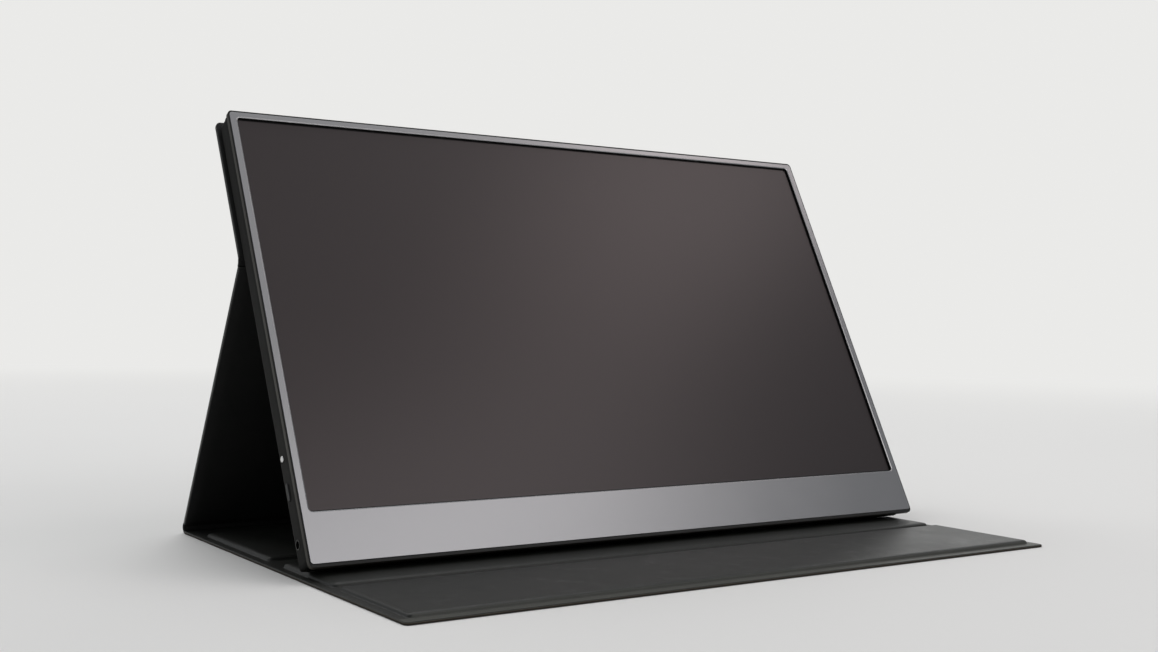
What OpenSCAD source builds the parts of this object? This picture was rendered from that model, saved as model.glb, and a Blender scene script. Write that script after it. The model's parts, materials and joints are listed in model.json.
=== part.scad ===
// Portable monitor standing on its folding folio cover.
// Monitor frame: X across, Y depth behind the front face, Z up along the screen.

/* [Screen] */
// Width of the screen that shows in the window
screen_w = 346.2; // [260:0.1:400]
// Height of the screen that shows in the window
screen_h = 195.6; // [170:0.1:230]
// Bezel at each side of the window
side_bezel = 4; // [3.6:0.1:8]
// Bezel above the window
top_bezel = 3.45; // [3.4:0.05:8]
// Height of the chin below the window
chin_h = 23.3; // [22:0.1:32]
// Corner radius of the window
window_r = 1.8; // [0.5:0.1:3]

/* [Monitor body] */
// Thickness of the bright front plate
face_t = 1; // [0.8:0.1:1.4]
// Depth of the middle frame that shows at the side
frame_d = 4; // [4:0.1:6]
// Depth of the rear shell
shell_d = 8.2; // [8:0.1:12]
// Outer corner radius seen from the front
corner_r = 3; // [2.5:0.1:5]
// Radius of the shell's back edges
back_edge_r = 2.2; // [1.8:0.1:2.6]
// Wall thickness of the rear shell
shell_wall = 1.6; // [1.4:0.1:2]
// Wall thickness of the middle frame's rim
frame_wall = 1.8; // [1.4:0.1:1.8]
// Step from the middle frame's rim in to the front plate
face_inset = 0.3; // [0.1:0.1:0.8]
// Step from the middle frame's rim in to the rear shell
shell_inset = 0.25; // [0.1:0.05:0.6]
// Width of the ledge that carries the display
ledge_w = 9; // [8.6:0.1:14]
// Thickness of that ledge
ledge_t = 1.4; // [1.2:0.1:1.8]

/* [Display stack] */
// Thickness of the foam gasket behind the front plate
gasket_t = 0.4; // [0.3:0.05:0.6]
// Width by which the display reaches past the window
display_lap = 1.5; // [1.3:0.1:1.5]
// Thickness of the front polariser
polariser_t = 0.2; // [0.15:0.05:0.3]
// Thickness of the liquid crystal cell
glass_t = 0.8; // [0.6:0.1:0.9]
// Thickness of the diffuser and prism films
films_t = 0.4; // [0.3:0.1:0.5]
// Thickness of the light guide
guide_t = 0.8; // [0.6:0.1:0.9]
// Thickness of the reflector film
reflector_t = 0.2; // [0.15:0.05:0.2]
// Thickness of the backlight tray's sheet metal
tray_t = 0.4; // [0.3:0.1:0.4]
// Number of light packages on the LED bar
led_count = 36; // [12:4:48]

/* [Ports and controls] */
// Depth of the ports' and controls' centre line behind the front face
port_n = 8.8; // [8.6:0.1:9.2]
// Height of the headphone socket above the body's lower edge
jack_v = 11.4; // [10:0.1:16]
// Radius of the headphone socket's bore
jack_r = 1.75; // [1.7:0.01:1.8]
// Depth of the headphone socket's bore
jack_depth = 11; // [9:0.5:12]
// Height of the menu rocker's pivot
rocker_v = 34.8; // [32:0.1:38]
// Length of the menu rocker
rocker_l = 8; // [6:0.5:9]
// Height of the power button
power_v = 49.9; // [47:0.1:54]
// Radius of the power button
power_r = 1.4; // [1:0.1:1.5]
// How far the power button can be pressed
power_travel = 0.6; // [0.3:0.05:0.8]
// How far the controls stand out of the side
control_proud = 0.5; // [0.3:0.1:0.8]
// Height of the lower USB socket
usb_v = 66; // [62:0.5:80]
// Distance between the two USB sockets
usb_pitch = 16; // [13:0.5:18]
// Distance from the upper USB socket to the HDMI socket
hdmi_pitch = 18; // [15:0.5:20]

/* [Cover] */
// Side margin by which the cover is wider than the monitor
cover_margin = 0.8; // [0.4:0.1:2]
// Thickness of the leather outer skin
skin_t = 0.8; // [0.6:0.1:1]
// Thickness of the stiff boards in the cover
board_t = 1.6; // [1.2:0.1:2]
// Thickness of the inner lining
lining_t = 0.8; // [0.6:0.1:1]
// Width of the sewn flange round the boards
hem_w = 5.5; // [4:0.5:8]
// Corner radius of the cover
cover_r = 5; // [2:0.5:8]
// Soft edge radius over the boards
pad_r = 1.4; // [0.8:0.1:1.8]
// Gap between the monitor and the cover where they rest on each other
seat_gap = 0.3; // [0.2:0.05:0.5]
// Gap between the spine and the rear board
spine_gap = 4.6; // [3:0.1:8]
// Gap between the rear and the middle board
mid_gap = 17; // [10:1:20]
// Length of the middle board, on which the monitor stands
mid_board_l = 48.4; // [40:0.1:60]
// How far the middle board reaches behind the monitor's foot
foot_reach = 26.2; // [12:0.1:30]
// Gap between the middle board and the flap's board
flap_gap = 10; // [10:1:14]
// Length of the flap's board
flap_board_l = 60; // [40:1:60]

/* [Stand] */
// Angle by which the monitor leans back
tilt = 27.4; // [24:0.1:32]
// Height of the back fold up the monitor
fold_v = 149.8; // [146:0.1:152]
// Length of the leg from the rear fold to the back fold
leg_l = 151.2; // [150:0.1:154]
// Radius of the bead in the rear fold
rear_bead_r = 2; // [1.8:0.1:2.4]
// Radius of the bead in the back fold
back_bead_r = 1.3; // [1.1:0.1:1.5]
// Radius of the bead in the flap's fold
flap_bead_r = 0.8; // [0.7:0.05:0.9]
// Running gap beside every fold's bead
bead_gap = 0.3; // [0.2:0.05:0.4]

/* [Hidden] */
$fn = 48;

// Monitor outline
body_w = screen_w + 2 * side_bezel;
body_h = chin_h + screen_h + top_bezel;
body_d = face_t + frame_d + shell_d;
half_w = body_w / 2;
window_top = chin_h + screen_h;
cut = 1; // how far a cutter reaches past the wall that it cuts

// Depths of the display stack, front to back
gasket_n = face_t;
polariser_n = gasket_n + gasket_t;
glass_n = polariser_n + polariser_t;
films_n = glass_n + glass_t;
guide_n = films_n + films_t;
reflector_n = guide_n + guide_t;
tray_n = reflector_n + reflector_t;
ledge_n = tray_n + tray_t;
ledge_back_n = ledge_n + ledge_t;
parting_n = face_t + frame_d;
floor_n = body_d - shell_wall;

// Sizes of the display stack, as distances from the window's edge
gasket_lap = display_lap + 0.1;
tray_wall = 0.5;
tray_gap = 0.2;
glass_lap = display_lap;
guide_lap = display_lap - tray_wall - tray_gap;
led_strip_w = 1.6;

// Circuit boards
jack_body = [12.5, 6, 4.1];
jack_ear = 1;
jack_ear_t = 0.5;
pcb_t = 1;
usb_h = 3.26;
usb_w = 8.94;
pcb_back_n = port_n - usb_h / 2;
pcb_n = pcb_back_n - pcb_t;
wall_in_x = half_w - shell_inset - shell_wall;
pcb_side_gap = 1.2;
main_w = 74;
main_below = 14;
main_above = 16;
main_v0 = usb_v - main_below;
main_v1 = usb_v + usb_pitch + hdmi_pitch + main_above;
main_x1 = wall_in_x - pcb_side_gap;
main_x0 = main_x1 - main_w;
control_w = 15;
control_v0 = jack_v - jack_body[1] / 2 - 0.2;
control_v1 = power_v + 7;
control_x0 = -wall_in_x + 4.2;
standoff_r = 2.4;
standoff_inset = 3.4;
main_spots = [for (x = [main_x0 + standoff_inset, main_x1 - standoff_inset],
    v = [main_v0 + standoff_inset, main_v1 - standoff_inset]) [x, v]];
control_spots = [for (v = [control_v0 + 11, control_v1 - standoff_inset])
    [control_x0 + control_w - standoff_inset, v]];
board_screw_l = 3.2;

// Sockets
socket_gap = 0.25;
socket_wall = 0.3;
usb_l = 7.4;
tongue_t = 0.7;
hdmi_w = 11.2;
hdmi_h = 3.2;
hdmi_l = 7.6;
hdmi_taper = 1.1;
hdmi_v = usb_v + usb_pitch + hdmi_pitch;
jack_ring_r = jack_r + 0.45;
jack_x0 = -wall_in_x + 0.2;

// Controls
control_gap = 0.25;
flange_t = 0.5;
flange_lap = 0.5;
rocker_w = 2.4;
rocker_swing = 3;
rocker_clear = (rocker_l / 2 + flange_lap) * sin(rocker_swing) + 0.08;
switch_body = [3.4, 3.2, 2.6];
plunger_r = 0.6;
plunger_l = 0.6;
rocker_switch_v = 2.8;
pivot_t = 1.2;
heel_r = 0.6;
heel_gap = 0.1;
rocker_back_x = -wall_in_x + rocker_clear + flange_t;

// Frame screws: one row below the headphone socket, one along the top, and the sides between the boards
screw_inset = 5.4;
screw_r = 0.8;
screw_head_r = 1.4;
screw_head_t = 0.6;
pilot_r = 0.7;
screw_l = 5;
boss_r = 2.2;
boss_gap = 0.8;
screws_across = 5;
screws_up = 3;
screw_low_v = jack_v - jack_body[1] / 2 - boss_r - boss_gap;
screw_top_v = body_h - screw_inset;
screw_step_x = (body_w - 2 * screw_inset) / (screws_across - 1);
above_controls_v = control_v1 + boss_r + boss_gap;
above_main_v = main_v1 + boss_r + boss_gap;
screw_side_x = half_w - screw_inset;
screw_spots = concat(
    [for (i = [0:screws_across - 1], v = [screw_low_v, screw_top_v])
        [-half_w + screw_inset + i * screw_step_x, v]],
    [for (j = [0:screws_up - 1])
        [-screw_side_x, above_controls_v + j * (screw_top_v - above_controls_v) / screws_up]],
    [for (v = [main_v0 - boss_r - boss_gap, above_main_v, (above_main_v + screw_top_v) / 2])
        [screw_side_x, v]]
);

// Speakers and magnets
speaker = [34, 12.5, 3.4];
speaker_x = 118;
speaker_v = 12;
slot_w = 1.2;
slot_l = 7;
slot_count = 9;
slot_pitch = 2.8;
magnet_r = 5;
magnet_t = 1.4;
magnet_wall = 0.9;
magnet_pitch = 88;
magnet_x = [for (i = [-1.5:1.5]) i * magnet_pitch];

// Ribbons from the display's glass down to its driver board
flex_pitch = 80;
flex_w = 20;
flex_x = [for (i = [-1.5:1.5]) i * flex_pitch];

// Ribs on the shell's floor
rib_t = 0.9;
rib_h = 1.1;
rib_x_count = 9;
rib_v_count = 5;

// Cover
cover_t = skin_t + board_t + lining_t;
cover_half = half_w + cover_margin;
hem_lining_t = 0.5;
hem_gap = 0.5;
pad_corner_r = 3;
hem_t = skin_t + hem_lining_t;
board_gap = 0.1;
panel_n = body_d + seat_gap;
panel_back_n = panel_n + cover_t;
panel_top_v = body_h + 2.4;
cover_magnet_r = 6;
cover_magnet_t = board_t - 2 * board_gap;
magnet_v = [fold_v + 18, panel_top_v - 18];

// Where the monitor stands: its rounded lower back edge is seat_gap above the cover
edge_v = back_edge_r + shell_inset;
edge_n = body_d - back_edge_r;
foot_z = cover_t + seat_gap;
face_z = foot_z + back_edge_r - (edge_v * cos(tilt) - edge_n * sin(tilt));
foot_y = edge_v * sin(tilt) + edge_n * cos(tilt);

// Back fold, and the rear fold that the leg's length gives
back_fold_n = panel_back_n - back_bead_r;
back_fold_y = fold_v * sin(tilt) + back_fold_n * cos(tilt);
back_fold_z = face_z + fold_v * cos(tilt) - back_fold_n * sin(tilt);
fold_offset = rear_bead_r - back_bead_r;
fold_span = sqrt(fold_offset * fold_offset + leg_l * leg_l);
fold_rise = back_fold_z - rear_bead_r;
rear_fold_y = back_fold_y + sqrt(fold_span * fold_span - fold_rise * fold_rise);
leg_lean = acos(fold_rise / fold_span) + atan(fold_offset / leg_l);

// Front cover, from the spine forward
spine_w = body_d + 2 * cover_t + 0.2;
spine_t = 1.7;
spine_board_t = spine_t - hem_t;
rear_y = rear_fold_y + rear_bead_r;
spine_front_y = rear_y - spine_w;
rear_y1 = spine_front_y - spine_gap;
mid_y1 = foot_y + foot_reach;
rear_y0 = mid_y1 + mid_gap;
mid_y0 = mid_y1 - mid_board_l;
flap_y1 = mid_y0 - flap_gap;
flap_y0 = flap_y1 - flap_board_l;
front_y = flap_y0 - hem_w - hem_gap;
flap_fold_y = flap_y1 + flap_gap / 2;
base_front_y = flap_fold_y + flap_bead_r + bead_gap;
flap_back_y = flap_fold_y - flap_bead_r - bead_gap;
base_back_y = rear_fold_y;

// The part's origin is under the middle of its outer box
origin_y = (front_y + rear_y) / 2;

module on_table() {
    translate([0, -origin_y, 0]) children();
}

module on_monitor() {
    on_table() translate([0, 0, face_z]) rotate([-tilt, 0, 0]) children();
}

module on_leg() {
    on_table() translate([0, rear_fold_y, rear_bead_r]) rotate([leg_lean, 0, 0]) children();
}

// A rectangle with four round corners
module round_rect(low, high, r) {
    translate([low[0] + r, low[1]]) square([high[0] - low[0] - 2 * r, high[1] - low[1]]);
    translate([low[0], low[1] + r]) square([high[0] - low[0], high[1] - low[1] - 2 * r]);
    for (a = [low[0] + r, high[0] - r], b = [low[1] + r, high[1] - r])
        translate([a, b]) circle(r);
}

// A rectangle whose two corners on its high side are round
module round_top(a0, a1, b0, b1, r) {
    translate([a0, b0]) square([a1 - a0, b1 - b0 - r]);
    translate([a0 + r, b0]) square([a1 - a0 - 2 * r, b1 - b0]);
    for (a = [a0 + r, a1 - r])
        translate([a, b1 - r]) circle(r);
}

// Extrudes an X-Z outline along Y, from depth n0 to depth n1
module slab(n0, n1) {
    translate([0, n1, 0]) rotate([90, 0, 0]) linear_extrude(n1 - n0) children();
}

// Extrudes a Y-Z outline along X, from x0 to x1
module across(x0, x1) {
    translate([x0, 0, 0]) rotate([90, 0, 90]) linear_extrude(x1 - x0) children();
}

// A plate in X and Y with round corners, and with soft edges of radius r round its top
module pad(low, high, plan_r, r) {
    intersection() {
        translate([0, 0, low[2]]) linear_extrude(high[2] - low[2])
            round_rect([low[0], low[1]], [high[0], high[1]], plan_r);
        slab(low[1] - cut, high[1] + cut) round_top(low[0], high[0], low[2] - cut, high[2], r);
        across(low[0] - cut, high[0] + cut) round_top(low[1], high[1], low[2] - cut, high[2], r);
    }
}

// Turns a plate whose top is its outer face to stand against the monitor's back
module against_back() {
    rotate([-90, 0, 0]) children();
}

module block(low, high) {
    translate(low) cube(high - low);
}

// The body's outline, drawn in by a margin
module body_outline(margin) {
    round_rect([-half_w + margin, margin], [half_w - margin, body_h - margin], corner_r - margin);
}

// The window's outline, grown by a lap
module window_outline(lap, r) {
    round_rect(
        [-screen_w / 2 - lap, chin_h - lap],
        [screen_w / 2 + lap, window_top + lap],
        r
    );
}

// The opening in the ledge behind the display
module ledge_opening() {
    round_rect(
        [-half_w + ledge_w, chin_h + display_lap + 2.5],
        [half_w - ledge_w, body_h - ledge_w],
        3
    );
}

module front_plate() {
    color([0.74, 0.74, 0.75]) on_monitor() difference() {
        slab(0, face_t) body_outline(face_inset);
        slab(-cut, face_t + cut) window_outline(0, window_r);
    }
}

module mid_frame() {
    flex_cut_w = flex_w + 6;
    rib_v = 3.2;
    rib_pitch = 44;
    rib_l = 16;
    color([0.24, 0.24, 0.25]) on_monitor() difference() {
        union() {
            difference() {
                slab(face_t, parting_n) body_outline(0);
                slab(face_t - cut, parting_n + cut) body_outline(frame_wall);
            }
            difference() {
                slab(ledge_n, parting_n) body_outline(frame_wall / 2);
                slab(ledge_n - cut, parting_n + cut) ledge_opening();
            }
            difference() {
                slab(parting_n, ledge_back_n) body_outline(shell_inset + shell_wall + 0.15);
                slab(parting_n - cut, ledge_back_n + cut) ledge_opening();
            }
            for (i = [-3:3])
                block([i * rib_pitch - rib_l / 2, face_t, rib_v],
                    [i * rib_pitch + rib_l / 2, ledge_n, rib_v + 1.2]);
        }
        for (x = flex_x)
            slab(ledge_n - cut, ledge_back_n + cut)
                round_rect([x - flex_cut_w / 2, 18], [x + flex_cut_w / 2, 22], 1);
        for (s = screw_spots) translate([s[0], ledge_back_n + cut, s[1]]) rotate([90, 0, 0]) {
            cylinder(h = ledge_t + 2 * cut, r = screw_r + 0.1);
            translate([0, 0, cut + ledge_t - screw_head_t])
                cylinder(h = screw_head_t + cut, r = screw_head_r + 0.15);
        }
    }
}

// The outer or inner form of the rear shell, with its round back edges
module shell_form(margin, n0, n1, r) {
    intersection() {
        slab(n0, n1) body_outline(margin);
        linear_extrude(body_h) round_top(-half_w + margin, half_w - margin, n0, n1, r);
        translate([half_w, 0, 0]) rotate([0, -90, 0]) linear_extrude(body_w)
            round_top(margin, body_h - margin, n0, n1, r);
    }
}

module post(spot, n0, n1, r) {
    translate([spot[0], n1, spot[1]]) rotate([90, 0, 0]) cylinder(h = n1 - n0, r = r);
}

// A cutter or a post whose axis runs across the body, through one of its sides
module side_rod(x0, x1, v, r) {
    translate([x0, port_n, v]) rotate([0, 90, 0]) cylinder(h = x1 - x0, r = r);
}

// The outline of a socket's mouth, upright in depth and height
module stadium(w, h) {
    for (s = [-1, 1]) translate([0, s * (w - h) / 2]) circle(h / 2);
    translate([-h / 2, -(w - h) / 2]) square([h, w - h]);
}

module hdmi_outline(grow) {
    h = hdmi_h / 2 + grow;
    w = hdmi_w / 2 + grow;
    polygon([[-h, -w], [h - hdmi_taper, -w], [h, -w + hdmi_taper],
        [h, w - hdmi_taper], [h - hdmi_taper, w], [-h, w]]);
}

module through_side(x0, x1, v) {
    translate([x0, port_n, v]) rotate([90, 0, 90]) linear_extrude(x1 - x0) children();
}

module shell_ribs() {
    span_x = body_w - 2 * ledge_w;
    span_v = body_h - 2 * ledge_w;
    n0 = floor_n - rib_h;
    for (i = [0:rib_x_count - 1]) {
        x = -span_x / 2 + i * span_x / (rib_x_count - 1);
        block([x - rib_t / 2, n0, shell_wall], [x + rib_t / 2, floor_n, body_h - shell_wall]);
    }
    for (j = [0:rib_v_count - 1]) {
        v = ledge_w + (j + 0.5) * span_v / rib_v_count;
        block([-half_w + shell_wall, n0, v - rib_t / 2], [half_w - shell_wall, floor_n, v + rib_t / 2]);
    }
}

module speaker_slots() {
    for (s = [-1, 1], i = [0:slot_count - 1]) {
        x = s * speaker_x + (i - (slot_count - 1) / 2) * slot_pitch;
        slab(floor_n - rib_h - cut, body_d + cut)
            round_rect([x - slot_w / 2, speaker_v - slot_l / 2],
                [x + slot_w / 2, speaker_v + slot_l / 2], slot_w / 2 - 0.01);
    }
}

module rear_shell() {
    margin = shell_inset;
    inner = margin + shell_wall;
    outer_x = half_w - margin;
    color([0.12, 0.12, 0.12]) on_monitor() difference() {
        union() {
            difference() {
                shell_form(margin, parting_n, body_d, back_edge_r);
                shell_form(inner, parting_n - cut, floor_n, back_edge_r - shell_wall / 2);
            }
            difference() {
                shell_ribs();
                for (s = [-1, 1])
                    block([s * speaker_x - speaker[0] / 2 - 0.3, parting_n, speaker_v - speaker[1] / 2 - 0.3],
                        [s * speaker_x + speaker[0] / 2 + 0.3, floor_n, speaker_v + speaker[1] / 2 + 0.3]);
                block([-half_w, parting_n, jack_v - jack_body[1] / 2 - 0.3],
                    [jack_x0 + jack_body[0] + 0.3, floor_n, jack_v + jack_body[1] / 2 + 0.3]);
            }
            for (s = screw_spots) post(s, ledge_back_n, floor_n, boss_r);
            for (s = concat(main_spots, control_spots)) post(s, pcb_back_n, floor_n, standoff_r);
            for (x = magnet_x, v = magnet_v)
                post([x, v], floor_n - magnet_t, floor_n, magnet_r + 0.1 + magnet_wall);
            block([rocker_back_x + heel_r + heel_gap, pcb_back_n, rocker_v - pivot_t / 2],
                [control_x0 + 2, floor_n, rocker_v + pivot_t / 2]);
        }
        for (s = screw_spots) post(s, ledge_back_n - cut, ledge_back_n + screw_l, pilot_r);
        for (s = concat(main_spots, control_spots))
            post(s, pcb_back_n - cut, pcb_back_n + board_screw_l, pilot_r);
        for (x = magnet_x, v = magnet_v) post([x, v], floor_n - magnet_t - cut, floor_n, magnet_r + 0.1);
        speaker_slots();
        side_rod(-outer_x - cut, -wall_in_x + cut, jack_v, jack_ring_r + 0.1);
        side_rod(-outer_x - cut, -wall_in_x + cut, power_v, power_r + control_gap);
        through_side(-outer_x - cut, -wall_in_x + cut, rocker_v)
            stadium(rocker_l + 2 * control_gap, rocker_w + 2 * control_gap);
        for (i = [0, 1])
            through_side(wall_in_x - cut, outer_x + cut, usb_v + i * usb_pitch)
                stadium(usb_w + 2 * socket_gap, usb_h + 2 * socket_gap);
        through_side(wall_in_x - cut, outer_x + cut, hdmi_v) hdmi_outline(socket_gap);
    }
}

module screen_gasket() {
    color([0.05, 0.05, 0.05]) on_monitor() difference() {
        slab(gasket_n, polariser_n) window_outline(gasket_lap, window_r);
        slab(gasket_n - cut, polariser_n + cut) window_outline(0, window_r);
    }
}

module front_polariser() {
    color([0.23, 0.22, 0.22]) on_monitor()
        slab(polariser_n, glass_n) window_outline(glass_lap - 0.3, 0.5);
}

module lcd_glass() {
    color([0.35, 0.38, 0.38]) on_monitor()
        slab(glass_n, films_n) window_outline(glass_lap, 0.5);
}

module optical_films() {
    color([0.92, 0.92, 0.9]) on_monitor()
        slab(films_n, guide_n) window_outline(guide_lap, 0.5);
}

module light_guide() {
    color([0.85, 0.92, 0.95]) on_monitor()
        slab(guide_n, reflector_n) window_outline(guide_lap, 0.4);
}

module reflector_film() {
    color([0.97, 0.97, 0.97]) on_monitor()
        slab(reflector_n, tray_n) window_outline(guide_lap, 0.4);
}

module backlight_tray() {
    bead_w = 5;
    bead_h = 0.5;
    outer = guide_lap + tray_gap + tray_wall;
    color([0.62, 0.63, 0.64]) on_monitor() union() {
        slab(tray_n, ledge_n) window_outline(outer, 0.8);
        difference() {
            slab(films_n, tray_n) window_outline(outer, 0.8);
            slab(films_n - cut, tray_n + cut) window_outline(guide_lap + tray_gap, 0.5);
            block([-screen_w / 2 - 0.4, films_n - cut, chin_h - outer - cut],
                [screen_w / 2 + 0.4, tray_n + cut, chin_h - guide_lap]);
        }
        for (x = [-screen_w / 4, screen_w / 4])
            slab(ledge_n, ledge_n + bead_h)
                round_rect([x - bead_w / 2, chin_h + 14], [x + bead_w / 2, window_top - 14], 2);
        for (v = [chin_h + screen_h / 3, chin_h + 2 * screen_h / 3])
            slab(ledge_n, ledge_n + bead_h)
                round_rect([-screen_w / 2 + 14, v - bead_w / 2], [screen_w / 2 - 14, v + bead_w / 2], 2);
    }
}

module led_bar() {
    package = [3, 0.7, 1];
    lit_w = screen_w - 8;
    step = lit_w / led_count;
    top_v = chin_h - guide_lap;
    color([0.95, 0.9, 0.6]) on_monitor() union() {
        block([-lit_w / 2, guide_n, top_v - led_strip_w], [lit_w / 2, guide_n + 0.4, top_v - 0.1]);
        for (i = [0:led_count - 1]) {
            x = -lit_w / 2 + (i + 0.5) * step;
            block([x - package[0] / 2, guide_n, top_v - 0.1 - package[2]],
                [x + package[0] / 2, guide_n + package[1], top_v - 0.1]);
        }
    }
}

module driver_board() {
    board_w = 3 * flex_pitch + 4 * flex_w;
    chip = [10, 0.7, 4];
    v0 = 6.2;
    v1 = 15.4;
    n1 = ledge_n;
    n0 = n1 - 0.8;
    color([0.1, 0.35, 0.2]) on_monitor() union() {
        slab(n0, n1) round_rect([-board_w / 2, v0], [board_w / 2, v1], 1);
        for (x = flex_x)
            block([x - chip[0] / 2, n0 - chip[1], v0 + 2], [x + chip[0] / 2, n0, v0 + 2 + chip[2]]);
    }
}

module display_flex() {
    ribbon_t = 0.15;
    high_n = films_n + 0.02;
    low_n = ledge_n - 0.8;
    // one ribbon's side view, from the glass down to the driver board
    color([0.7, 0.45, 0.15]) on_monitor() for (x = flex_x)
        across(x - flex_w / 2, x + flex_w / 2) polygon([
            [high_n, chin_h - guide_lap - led_strip_w - 0.2],
            [high_n, chin_h - 4.5],
            [low_n - ribbon_t, 15],
            [low_n - ribbon_t, 13],
            [low_n, 13],
            [low_n, 15.2],
            [high_n + ribbon_t, chin_h - 4.3],
            [high_n + ribbon_t, chin_h - guide_lap - led_strip_w - 0.2]
        ]);
}

module main_board() {
    color([0.08, 0.3, 0.18]) on_monitor() difference() {
        slab(pcb_n, pcb_back_n) round_rect([main_x0, main_v0], [main_x1, main_v1], 1.5);
        for (s = main_spots) post(s, pcb_n - cut, pcb_back_n + cut, screw_r + 0.15);
    }
}

module board_chips() {
    // [low corner across, low corner up, width, height, thickness] of each package
    chips = [
        [8, 12, 14, 14, 1.1], [34, 8, 5, 4, 1.2], [42, 8, 5, 4, 1.2], [34, 16, 8, 6, 1.6],
        [48, 18, 3, 3, 1.5], [52, 30, 4, 4, 0.9], [30, 44, 10, 5, 1.3], [12, 46, 6, 6, 2],
        [44, 46, 7, 7, 2.4], [22, 34, 3, 6, 0.8]
    ];
    color([0.07, 0.07, 0.08]) on_monitor() for (c = chips)
        block([main_x0 + c[0], pcb_back_n, main_v0 + c[1]],
            [main_x0 + c[0] + c[2], pcb_back_n + c[4], main_v0 + c[1] + c[3]]);
}

module board_shield() {
    w = 20;
    h = 20;
    t = 0.2;
    rise = 2;
    x0 = main_x0 + 5;
    v0 = main_v0 + 9;
    color([0.75, 0.75, 0.76]) on_monitor() difference() {
        block([x0, pcb_back_n, v0], [x0 + w, pcb_back_n + rise, v0 + h]);
        block([x0 + t, pcb_back_n - cut, v0 + t], [x0 + w - t, pcb_back_n + rise - t, v0 + h - t]);
    }
}

module usb_sockets() {
    outer_x = half_w - shell_inset - 0.2;
    color([0.7, 0.7, 0.72]) on_monitor() for (i = [0, 1]) {
        v = usb_v + i * usb_pitch;
        difference() {
            through_side(outer_x - usb_l, outer_x, v) stadium(usb_w, usb_h);
            through_side(outer_x - usb_l + 1, outer_x + cut, v)
                stadium(usb_w - 2 * socket_wall, usb_h - 2 * socket_wall);
        }
        block([outer_x - usb_l + 1, port_n - tongue_t / 2, v - 3.3],
            [outer_x - 1.2, port_n + tongue_t / 2, v + 3.3]);
    }
}

module hdmi_socket() {
    outer_x = half_w - shell_inset - 0.2;
    color([0.7, 0.7, 0.72]) on_monitor() union() {
        difference() {
            through_side(outer_x - hdmi_l, outer_x, hdmi_v) hdmi_outline(0);
            through_side(outer_x - hdmi_l + 1, outer_x + cut, hdmi_v) hdmi_outline(-socket_wall);
        }
        block([outer_x - hdmi_l + 1, port_n - tongue_t / 2, hdmi_v - 3.8],
            [outer_x - 1.2, port_n + tongue_t / 2, hdmi_v + 3.8]);
    }
}

module audio_jack() {
    mouth_x = -half_w + shell_inset;
    color([0.6, 0.6, 0.61]) on_monitor() difference() {
        union() {
            side_rod(mouth_x - 0.15, jack_x0 + cut, jack_v, jack_ring_r);
            block([jack_x0, port_n - jack_body[2] / 2, jack_v - jack_body[1] / 2],
                [jack_x0 + jack_body[0], port_n + jack_body[2] / 2, jack_v + jack_body[1] / 2]);
            block([jack_x0 + 2 * jack_ear, pcb_back_n, jack_v],
                [jack_x0 + jack_body[0] + jack_ear, pcb_back_n + jack_ear_t,
                    jack_v + jack_body[1] / 2 + jack_ear]);
        }
        side_rod(mouth_x - cut, mouth_x - 0.15 + jack_depth, jack_v, jack_r);
    }
}

module control_board() {
    color([0.08, 0.3, 0.18]) on_monitor() difference() {
        slab(pcb_n, pcb_back_n)
            round_rect([control_x0 - 2.4, control_v0], [control_x0 + control_w, control_v1], 1.5);
        for (s = control_spots) post(s, pcb_n - cut, pcb_back_n + cut, screw_r + 0.15);
        block([control_x0 - 2.4 - cut, pcb_n - cut, control_v0 - cut],
            [jack_x0 + jack_body[0] + 0.1, pcb_back_n + cut, jack_v + jack_body[1] / 2 + 0.1]);
    }
}

// A side-pressed switch whose plunger's tip is at tip_x
module tact_switch(tip_x, v) {
    block([tip_x + plunger_l, pcb_back_n, v - switch_body[1] / 2],
        [tip_x + plunger_l + switch_body[0], pcb_back_n + switch_body[2], v + switch_body[1] / 2]);
    translate([tip_x, pcb_back_n + switch_body[2] / 2, v]) rotate([0, 90, 0])
        cylinder(h = plunger_l, r = plunger_r);
}

module tact_switches() {
    power_tip = -wall_in_x + 0.05 + flange_t + power_travel + 0.1;
    rocker_tip = rocker_back_x + 0.25;
    small = 0.6;
    color([0.78, 0.78, 0.76]) on_monitor() {
        tact_switch(power_tip, power_v);
        for (s = [-1, 1]) tact_switch(rocker_tip, rocker_v + s * (rocker_switch_v + small));
    }
}

module power_button() {
    outer_x = -half_w + shell_inset - control_proud;
    inner_x = -wall_in_x + 0.05;
    color([0.8, 0.8, 0.8]) on_monitor() union() {
        side_rod(outer_x, inner_x + flange_t, power_v, power_r);
        side_rod(inner_x, inner_x + flange_t, power_v, power_r + flange_lap);
    }
}

module menu_rocker() {
    outer_x = -half_w + shell_inset - control_proud;
    inner_x = -wall_in_x + rocker_clear;
    color([0.4, 0.4, 0.41]) on_monitor() union() {
        through_side(outer_x, inner_x + flange_t, rocker_v) stadium(rocker_l, rocker_w);
        through_side(inner_x, inner_x + flange_t, rocker_v)
            stadium(rocker_l + 2 * flange_lap, rocker_w + 2 * flange_lap);
        post([rocker_back_x, rocker_v], port_n - rocker_w / 2, port_n + rocker_w / 2, heel_r);
    }
}

module speakers() {
    cone_r = 4.6;
    color([0.15, 0.15, 0.16]) on_monitor() for (s = [-1, 1]) difference() {
        slab(floor_n - speaker[2], floor_n)
            round_rect([s * speaker_x - speaker[0] / 2, speaker_v - speaker[1] / 2],
                [s * speaker_x + speaker[0] / 2, speaker_v + speaker[1] / 2], 2);
        post([s * speaker_x, speaker_v], floor_n - 1, floor_n + cut, cone_r);
    }
}

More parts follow.
